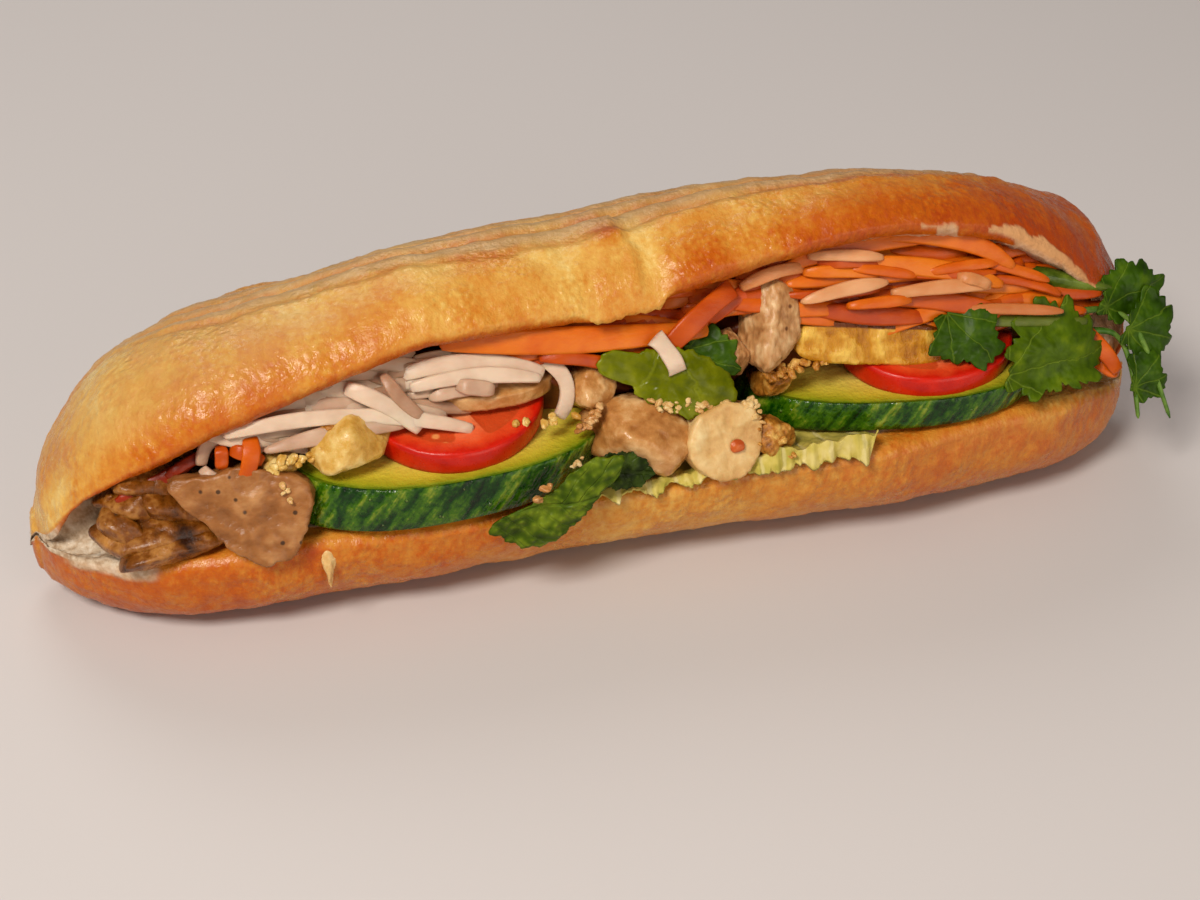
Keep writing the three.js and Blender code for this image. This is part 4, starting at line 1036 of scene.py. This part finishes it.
def bits(name, first, last, count, stray, size, material, slot, seed):
    bm = bmesh.new()
    height = layer(bm, "height")
    stream = draws(seed)
    for _ in range(count):
        t = (next(stream) + 1) / 2
        x, s, d = (lerp(a, b, t) for a, b in zip(first, last))
        x += stray * next(stream)
        s += stray * next(stream)
        big = size * (0.55 + 0.45 * abs(next(stream)))
        turn = turn_of(90 * next(stream), 40 * next(stream), 40 * next(stream))
        tone = next(stream)
        made = bmesh.ops.create_icosphere(bm, subdivisions=3, radius=big / 2)["verts"]
        middle = in_mouth(x, s, d + 0.4 * next(stream))
        for v in made:
            p = turn @ Vector((v.co.x * 1.35, v.co.y * 0.9, v.co.z * 0.7))
            swell = rough(p + middle, big * 0.5, seed)
            # Raised parts lighter, as painted light; each crumb also has a tone of its own.
            v[height] = 0.5 + 0.3 * swell + 0.3 * tone
            v.co = middle + p * (1 + 0.3 * swell)
    finished(name, bm, material, slot)


for number, (name, first, last, count, stray, size, material, slot) in enumerate(BITS):
    bits(name, first, last, count, stray, size, material, slot, 40 + number)

dot_finish = plain_finish("chilli_oil_dot", "b04a1a", "cc682c", 2, 0.3, 0.1)
dot = lump((3, 2.8, 1.2), 3, 0.05, sharp=5, torn=0.1)
finished("chilli_dot", dot, dot_finish, "pale_meat", matrix=in_face((18.9, 7.8, 4.1)))
drip = lump((5.2, 8.6, 2.2), 6, 0.16, sharp=5)
for v in drip.verts:
    v.co.x *= lerp(0.3, 1, smooth(-1, 4, v.co.y))
finished("egg_drip", drip, pale, "egg", matrix=lying((-65.2, -32.4, 15.4), nose=80))


# ---------------- herbs
def zigzag(v):
    """A saw-toothed wave between -1 and 1."""
    return 1 - 4 * abs((v / tau) % 1 - 0.5)


def coriander(w, h, teeth, phase=0.0):
    base = oval(w, h)

    def outline(t):
        fan = 0.84 + 0.19 * sin(t) + 0.1 * cos(3 * (t - pi / 2))
        edge = 1 + 0.11 * cos(teeth * t + phase) + 0.05 * cos(2 * teeth * t)
        edge += 0.05 * zigzag(3 * teeth * t + 1)
        return base(t) * min(1.1, max(0.3, fan)) * edge

    return outline


def scalloped(corners, teeth, deep):
    shape = cornered(corners)
    return lambda t: shape(t) * (1 + deep * cos(teeth * t) + 0.3 * deep * cos(3 * teeth * t + 1))


def crinkled(w, h, teeth):
    base = oval(w, h, 1.8)
    return lambda t: base(t) * (1 + 0.05 * cos(teeth * t) + 0.02 * cos(3 * teeth * t))


mint = leaf_finish("mint_leaf", "162600", "3c5200", "6e8016", "64821e", 0.8, 1.3, midrib=True)
mint_dark = leaf_finish("mint_shadow_leaf", "0c1600", "1e2e02", "3e520c", "3a4c0e", 0.8, 1.0, midrib=True)
olive_leaf = leaf_finish("coriander_olive", "465000", "697000", "949618", "8c9422", 3.0, gloss=0.28)
green_leaf = leaf_finish("coriander_green", "1e3400", "486000", "74860c", "8ca230", 5.0)
dark_leaf = leaf_finish("coriander_dark", "102600", "304e00", "5c780a", "7a9226", 5.0)

MINT_CORNERS = (
    (-15, -3.6), (-12, -6), (-9, -9), (-4.4, -9.8), (0, -7.8), (3.6, -5), (7.4, -0.6), (11.4, 4), (15, 6.8),
    (12.4, 9.2), (7.6, 9.2), (3.6, 6.6), (-0.6, 3.4), (-6, 0.6), (-12, -0.8),
)
OLIVE_CORNERS = (
    (-15.8, 5.8), (-12.5, 7.9), (-5.4, 6.8), (-0.7, 7.3), (5, 5.7), (9.8, 2.5), (14.2, -2.9), (12.9, -5.8),
    (8.4, -7.5), (3, -8.1), (-1.9, -5.5), (-6.7, -2.3), (-8, 0.5), (-11.9, 2.2),
)

# name, node, outline, wave, place, turn (spin, pitch, yaw), stalk end, finish, slot
LEAVES = (
    (
        "mint_front", "mint_leaf", scalloped(MINT_CORNERS, 22, 0.03),
        lambda x, y: 0.6 * sin(x * 0.5) * cos(y * 0.5) - 0.008 * y * y,
        (-19.4, 2, 4.2), (0, 26, 8), (0, 0), mint, "mint",
    ),
    (
        "mint_behind", "mint_leaf_under", crinkled(6.6, 4, 11),
        lambda x, y: 0.4 * sin(x * 0.9) * cos(y * 0.8),
        (-5.6, 6.6, 3.8), (-14, 16, 0), (0, 0), mint_dark, "mint",
    ),
    (
        "coriander_olive_leaf", "coriander_middle", scalloped(OLIVE_CORNERS, 15, 0.04),
        lambda x, y: sin(x * 0.22 + 0.6) + 0.5 * sin(y * 0.5 + x * 0.3),
        (7, 22.8, 3.6), (0, 4, 0), (-1, 8), olive_leaf, "coriander",
    ),
    (
        "coriander_shadow_leaf", "coriander_dark", coriander(7.4, 5.6, 7),
        lambda x, y: 0.8 * sin(x * 0.5) + 0.3 * sin(y * 0.9),
        (16.4, 26, 1.6), (-30, 0, 0), (-5, 0), dark_leaf, "coriander",
    ),
    (
        "coriander_right_leaf", "coriander_right", coriander(9.2, 8, 7),
        lambda x, y: 0.9 * sin(x * 0.4) - 0.02 * y * y,
        (71.4, 21.4, 3.6), (-18, 0, 0), (-5, 5), dark_leaf, "coriander",
    ),
    (
        "coriander_large_leaf", "coriander_large", coriander(15, 11.2, 11, 0.6),
        lambda x, y: 1.1 * sin(x * 0.24 + 0.4) + 0.5 * sin(y * 0.5),
        (92, 14.6, 1.2), (4, 0, -14), (-13, -1), green_leaf, "coriander",
    ),
)
for seed, (name, node, outline, wave, place, turn, foot, material, slot) in enumerate(LEAVES):
    finished(name, leaf(outline, wave, foot, seed), material, slot, node, in_face(place, *turn))

chilli = plain_finish("green_chilli", "364a0c", "687c22", 5, 0.24, 0.15)
pod = lump((25, 4.6, 7.6), 2, 0.05, sharp=6, torn=0.1)
finished("chilli_piece", pod, chilli, "chilli", "green_chilli", in_face((95.6, 31, -3.6), -20))

# The sprig that hangs out of the right end: stalks through places (x, s, d), and blades on them.
SPRIG_STALKS = (
    ((98, 23, -4), (107, 22.6, -3.4), (113, 17, -2), (117.6, -2.4, -1)),
    ((99, 19, -4.4), (108, 17.4, -3.6), (110.6, 10, -2.4), (110.4, -1.4, -1.4)),
)
SPRIG_BLADES = (
    ((112.8, 25.2, -2.6), (10.8, 6.6), 14, 8),
    ((115, 16.4, -1.4), (7, 8.4), -20, 7),
    ((113.8, 6, -1), (5, 6.6), 8, 6),
)


def curve_through(places, t):
    """A smooth curve through places, from t = 0 at the first to 1 at the last."""
    points = [in_mouth(*p) for p in places]
    spans = len(points) - 1
    i = min(spans - 1, int(t * spans))
    f = t * spans - i
    p0 = points[max(0, i - 1)]
    p1, p2 = points[i], points[i + 1]
    p3 = points[min(spans, i + 2)]
    return 0.5 * (
        2 * p1 + (p2 - p0) * f + (2 * p0 - 5 * p1 + 4 * p2 - p3) * f**2 + (3 * p1 - p0 - 3 * p2 + p3) * f**3
    )


STALK_RADIUS, STALK_STEPS, STALK_SIDES = 0.75, 28, 10


def stalk(bm, places):
    def where(u, v, vert):
        here = curve_through(places, u)
        before, after = (curve_through(places, min(1, max(0, u + step))) for step in (-0.01, 0.01))
        ahead = (after - before).normalized()
        side = OUT.cross(ahead).normalized()
        face = ahead.cross(side)
        r = STALK_RADIUS * (1 - 0.35 * u) * (0.3 if u in (0, 1) else 1 + 0.1 * sin(11 * u))
        return here + (side * cos(tau * v) + face * sin(tau * v)) * r

    merged(bm, sheet_grid(bm, STALK_STEPS, STALK_SIDES, where))


stalks = bmesh.new()
for places in SPRIG_STALKS:
    stalk(stalks, places)
stalk_finish = plain_finish("coriander_stalk", "345c14", "6e8c36", 3, 0.4, 0.1)
finished("sprig_stalks", closed(stalks), stalk_finish, "coriander", "coriander_sprig")


def sprig_wave(x, y):
    return 0.6 * sin(x * 0.5) + 0.4 * sin(y * 0.6)


for number, (place, (w, h), spin, teeth) in enumerate(SPRIG_BLADES):
    blade = leaf(coriander(w, h, teeth, 0.4), sprig_wave, (-w * 0.7, 0), number + 9)
    name = "sprig_blade_" + "abc"[number]
    finished(name, blade, dark_leaf, "coriander", "coriander_sprig", in_face(place, spin, 0, -12))

# ---------------- grated pickle
# Strips: from x, s to x, s, sideways bow, how far out, width.
DAIKON_LEFT = (
    (-82.4, 26, -33.6, 19.4, 3.2, 1.6, 3.6),
    (-75, 21.6, -47, 22.4, 1, 1.4, 3.8),
    (-67.5, 28.2, -47, 25.6, 1, -1, 4),
    (-57.6, 31.4, -44, 21, 0.8, 1.8, 4),
    (-50, 33, -43.4, 23.4, -0.8, 2.2, 3.2),
    (-80, 25.2, -87, 20.4, -2.4, -3.4, 3.2),
    (-87, 20, -79.6, 18, -2, -3, 3),
    (-46, 32, -17.6, 28, 2.6, 0.4, 4),
    (-45, 29.4, -18.6, 27.2, 1.6, 1.6, 3.6),
    (-43, 34, -25, 32.6, 0.6, -1.4, 4),
    (-41.4, 26.6, -30.6, 27.2, 0.6, 0.6, 3.4),
    (-36, 28.6, -28.4, 26.6, 0, 2.4, 3.8),
    (-17.6, 31, -15.8, 18.8, 3.2, 0.2, 3.6),
)
DAIKON_STUB = ((4.6, 32.2, 8.4, 24.4, 0.4, 6, 3.6),)
CARROT_LEFT = (
    (-83, 24, -83.6, 19.2, 0.2, -1.4, 2.8),
    (-81.4, 22.8, -75.4, 19.4, 0.4, -0.2, 3),
    (-77.2, 24.8, -79.6, 16.6, 0.6, 0.2, 3.6),
    (-38, 37.2, 17, 31.8, -0.6, 2.4, 5.4),
    (-18.5, 31.8, -5, 28.2, 0.3, 2.2, 2.8),
    (7.6, 29.6, 22.8, 39.6, 0.6, 4.2, 4.4),
)
CARROT_RIGHT = (
    (34.6, 42, 65.6, 43.4, 1.8, 3.4, 4.8),
    (55.6, 45, 84, 35, 3.2, 4.2, 4.8),
    (41, 42.2, 55, 40, 0.4, 4.4, 3.6),
    (34.4, 38.4, 70.4, 35.8, 1, 2.6, 4.6),
    (48.6, 40.6, 81.2, 31.6, 1.4, 4, 4.4),
    (37.4, 33.2, 66.5, 27, -0.4, 1.6, 4.4),
    (50.6, 33.4, 81, 26, 1, 2, 4.2),
    (78.5, 32.4, 106, 26.6, -0.6, -1.4, 3.8),
    (26, 32.6, 34.6, 38, 0, -1.4, 3.6),
    (81.4, 28.4, 97, 25.4, 0.4, -0.4, 3.2),
    (94.4, 25.8, 108.4, 9, 0.8, -3.2, 3.8),
    (104, 12, 109.4, 8.2, 0, -5.4, 3.6),
)
DAIKON_RIGHT = (
    (24.6, 39.2, 38.6, 41.4, 1, 3.4, 3.6),
    (36.4, 34.6, 55.6, 36, 0.6, 5.2, 4),
    (39, 43.6, 55, 41, 0.4, 5.6, 3.2),
    (56, 33.4, 78, 32, 0.6, 5, 3.8),
    (70.4, 34.8, 77.4, 32, 0.4, 5.6, 3.4),
    (72, 28, 94.6, 24.2, 0.2, 2.8, 3.2),
)
CARROT_SHADE = (
    (-104, 15.4, -94, 19.6, 0.4, -8, 2.4),
    (-99, 18, -88, 21.6, -0.5, -7, 2.6),
    (-94, 19, -84, 22.6, 0.6, -5.6, 2.4),
    (-76, 29, -68, 31.4, 0.2, -2, 2.4),
    (17, 33.6, 30, 40, 0.4, 1.2, 3.4),
)
OLIVE_STRIP = ((67, 26.2, 100.8, 21.2, 0, 0.6, 2.4),)
carrot = strip_finish("grated_carrot", "a63800", "c85600", "dc7816", 0.04)
daikon = strip_finish("grated_daikon", "a07456", "c2a086", "dcc4ac", 0.16)
daikon_tinted = strip_finish("tinted_daikon", "b8642e", "c8804a", "daa070", 0.1)
carrot_shade = strip_finish("shaded_carrot", "601602", "a02e06", "c84e0c", 0.05)
olive_rind = strip_finish("olive_rind", "4e5c10", "808a2c", "a6a84a", 0.04)
STRIP_THICK, UNDER_THICK = 1.5, 1.8


def shown_strips(name, rows, material, slot, node, seed, width=1.0, point=0.4):
    bm = bmesh.new()
    stream = draws(seed)
    for x0, s0, x1, s1, bow, out, wide in rows:
        tone, twist = next(stream), next(stream)
        first, last = (x0, s0, out), (x1, s1, out)
        strip(bm, first, last, bow, wide * width, STRIP_THICK, tone, twist=twist * 0.7, point=point)
    finished(name, closed(bm), material, slot, node)


def filling_top(x):
    """The height s in the mouth's frame where the upper lip covers the filling."""
    half, _, slit, opening, shift, _, _ = roll_at(x)
    hinge = half * HINGE + shift
    for step in range(60):
        s = 20 + step * 0.5
        p = in_mouth(x, s, 0)
        if p.z > slit + (hinge - p.y) * tan(radians(opening)) - 1.2:
            return s
    return 50.0


def under_strips(name, count, span, low, out, material, slot, node, seed):
    """Strips that lie behind the shown ones, so that the heap is strips all through."""
    bm = bmesh.new()
    stream = draws(seed)
    for _ in range(count):
        x = lerp(*span, (next(stream) + 1) / 2)
        s = lerp(low(x), max(low(x) + 2, filling_top(x) + 2), (next(stream) + 1) / 2)
        length = 12 + 10 * abs(next(stream))
        lean = radians(16 * next(stream) - 5)
        dx, ds = cos(lean) * length / 2, sin(lean) * length / 2
        d = out(x) - 1.6 * abs(next(stream))
        # A little darker than the shown strips: painted shade behind them.
        tone = next(stream) - 0.05
        ends = (x - dx, s - ds, d), (x + dx, s + ds, d)
        bow, wide = 1.2 * next(stream), 3.2 + 0.6 * tone
        strip(bm, *ends, bow, wide, UNDER_THICK, tone, twist=0.6 * next(stream), steps=10)
    finished(name, closed(bm), material, slot, node)


def over_strips(name, count, material, slot, node, seed):
    """Fine strips that lie on the right heap, between and over the broad ones."""
    bm = bmesh.new()
    stream = draws(seed)
    for _ in range(count):
        x = lerp(38, 98, (next(stream) + 1) / 2)
        low, high = low_right(x) + 3, filling_top(x) - 1.5
        s = lerp(low, high, (next(stream) + 1) / 2)
        length = 13 + 9 * abs(next(stream))
        lean = radians(14 * next(stream) - 8)
        dx, ds = cos(lean) * length / 2, sin(lean) * length / 2
        d = 4.2 - 4.5 * smooth(74, 100, x) + 0.5 * next(stream)
        tone = next(stream)
        ends = (x - dx, s - ds, d), (x + dx, s + ds, d - 1.5 * smooth(70, 100, x))
        bow, wide = 1.4 * next(stream), 2.4 + 0.5 * tone
        strip(bm, *ends, bow, wide, STRIP_THICK, tone, twist=0.6 * next(stream), point=0.8)
    finished(name, closed(bm), material, slot, node)


def low_left(x):
    return 22 + 7.5 * bell(x, -26, 14)


def low_right(x):
    return 31.5 - 10 * smooth(30, 96, x)


def out_left(x):
    return -0.6 - 3 * smooth(-78, -88, x)


def out_right(x):
    return 1.2 - 7 * smooth(76, 104, x)


shown_strips("daikon_strips_left", DAIKON_LEFT, daikon, "daikon", "pickle_left", 21, 0.9, 0.6)
shown_strips("daikon_stub", DAIKON_STUB, daikon, "daikon", "pickle_left", 42, 1, 0)
shown_strips("carrot_strips_left", CARROT_LEFT, carrot, "carrot", "pickle_left", 22)
shown_strips("daikon_strips_right", DAIKON_RIGHT, daikon_tinted, "daikon", "pickle_right", 23, 0.78, 0.7)
shown_strips("carrot_strips_right", CARROT_RIGHT, carrot, "carrot", "pickle_right", 24, 0.96, 0.6)
over_strips("carrot_over_right", 9, carrot, "carrot", "pickle_right", 35)
shown_strips("carrot_bits_left", CARROT_SHADE, carrot_shade, "carrot", "pickle_left", 26)
shown_strips("olive_strip_right", OLIVE_STRIP, olive_rind, "cucumber", "pickle_right", 25)
under_strips("daikon_under_left", 60, (-78, -20), low_left, out_left, daikon, "daikon", "pickle_left", 31)
under_strips(
    "carrot_under_left", 26, (-22, 14), lambda x: 27, lambda x: 0.2, carrot, "carrot", "pickle_left", 32
)
under_strips(
    "carrot_under_right", 90, (22, 100), low_right, out_right, carrot, "carrot", "pickle_right", 33
)


CORE_COLUMNS, CORE_ROWS = 90, 60


def make_core(name, node, span, low, out, slot):
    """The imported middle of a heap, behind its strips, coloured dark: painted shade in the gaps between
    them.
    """
    bm = bmesh.new()
    tone = layer(bm, "tone")

    def where(u, v, vert):
        x = lerp(*span, u)
        half, _, slit, opening, shift, _, _ = roll_at(x)
        hinge = half * HINGE + shift
        slope = tan(radians(opening))
        pinch = 0.02 + 0.98 * sqrt(max(0, 1 - abs(2 * u - 1) ** 6))
        foot = in_mouth(x, low(x), out(x) - 2.2)
        back = hinge - min(JOINT, half * 0.45) - 1

        def roof(y):
            return slit + (hinge - y) * slope - 0.6

        top_y = foot.y + 0.49 * 22
        corners = (
            (foot.y, foot.z), (-12, slit + 0.6), (back, slit + 0.4), (back, roof(back)),
            (lerp(top_y, back, 0.5), roof(lerp(top_y, back, 0.5))), (top_y, min(roof(top_y), foot.z + 25)),
        )
        place = v * len(corners)
        i = int(place) % len(corners)
        f = place - int(place)
        y = lerp(corners[i][0], corners[(i + 1) % len(corners)][0], f)
        z = lerp(corners[i][1], corners[(i + 1) % len(corners)][1], f)
        middle_y, middle_z = lerp(foot.y, back, 0.4), slit + 6
        # The darkest tone: painted shade.
        vert[tone] = -1.0
        p = Vector((x, lerp(middle_y, y, pinch), lerp(middle_z, z, pinch)))
        return p + Vector((0, 0.3, 0.3)) * rough(p, 3, 2)

    sheet_grid(bm, CORE_COLUMNS, CORE_ROWS, where)
    merged(bm)
    finished(name, closed(bm), pickle_core, slot, node)


# A dark brown for the heap's middle, seen in the gaps between strips: painted shade.
pickle_core = strip_finish("packed_pickle_in_shade", "5a240a", "924c1e", "be7e4a", 0.0)
make_core("packed_core_left", "pickle_left", (-90, 14), low_left, out_left, "daikon")
make_core("packed_core_right", "pickle_right", (14.6, 107), low_right, out_right, "carrot")

# ---------------- floor, light and camera
floor_bm = bmesh.new()
bmesh.ops.create_grid(floor_bm, x_segments=1, y_segments=1, size=3)
floor_mesh = bpy.data.meshes.new("floor")
floor_bm.to_mesh(floor_mesh)
floor_bm.free()
floor = linked("floor", floor_mesh)
floor.location.z = -0.0003
floor_mesh.materials.append(Finish("pale_floor").surface("d0cccc", 0.7))

CENTRE = Vector((0, 0, 0.035))


def lamp(name, place, size, power, colour):
    data = bpy.data.lights.new(name, "AREA")
    data.shape = "DISK"
    data.size = size
    data.energy = power
    data.color = colour
    made = linked(name, data)
    made.location = place
    made.rotation_mode = "QUATERNION"
    made.rotation_quaternion = (Vector(place) - CENTRE).to_track_quat("Z", "Y")


lamp("key_light", (-0.54, -0.56, 0.88), 0.36, 11.0, (1.0, 0.93, 0.84))
lamp("fill_light", (0.4, -1.0, 0.3), 0.8, 3.4, (1.0, 0.88, 0.76))
lamp("back_light", (-0.1, 0.8, 0.9), 0.6, 3.0, (1.0, 0.95, 0.9))
world = bpy.data.worlds.new("studio")
bpy.context.scene.world = world
world.use_nodes = True
world.node_tree.nodes["Background"].inputs["Color"].default_value = (1.0, 0.92, 0.86, 1)
world.node_tree.nodes["Background"].inputs["Strength"].default_value = 0.2

BACK = Vector((-0.2330, -0.7915, 0.5650))
RIGHT = Vector((0.9593, -0.2823, 0.0))
CAMERA_UP = Vector((0.1595, 0.5420, 0.8251))
AIM_RIGHT, AIM_UP, CAMERA_AWAY = 0.00044, 0.00905, 0.5077
target = RIGHT * AIM_RIGHT + CAMERA_UP * AIM_UP + OFFSET
camera_data = bpy.data.cameras.new("camera")
camera_data.lens = 69.0
camera_data.sensor_width = 36.0
camera_data.clip_start = 0.01
camera = linked("camera", camera_data)
camera.location = target + BACK * CAMERA_AWAY
camera.rotation_mode = "QUATERNION"
camera.rotation_quaternion = BACK.to_track_quat("Z", "Y")
bpy.context.scene.camera = camera
bpy.context.scene.view_settings.view_transform = "Standard"
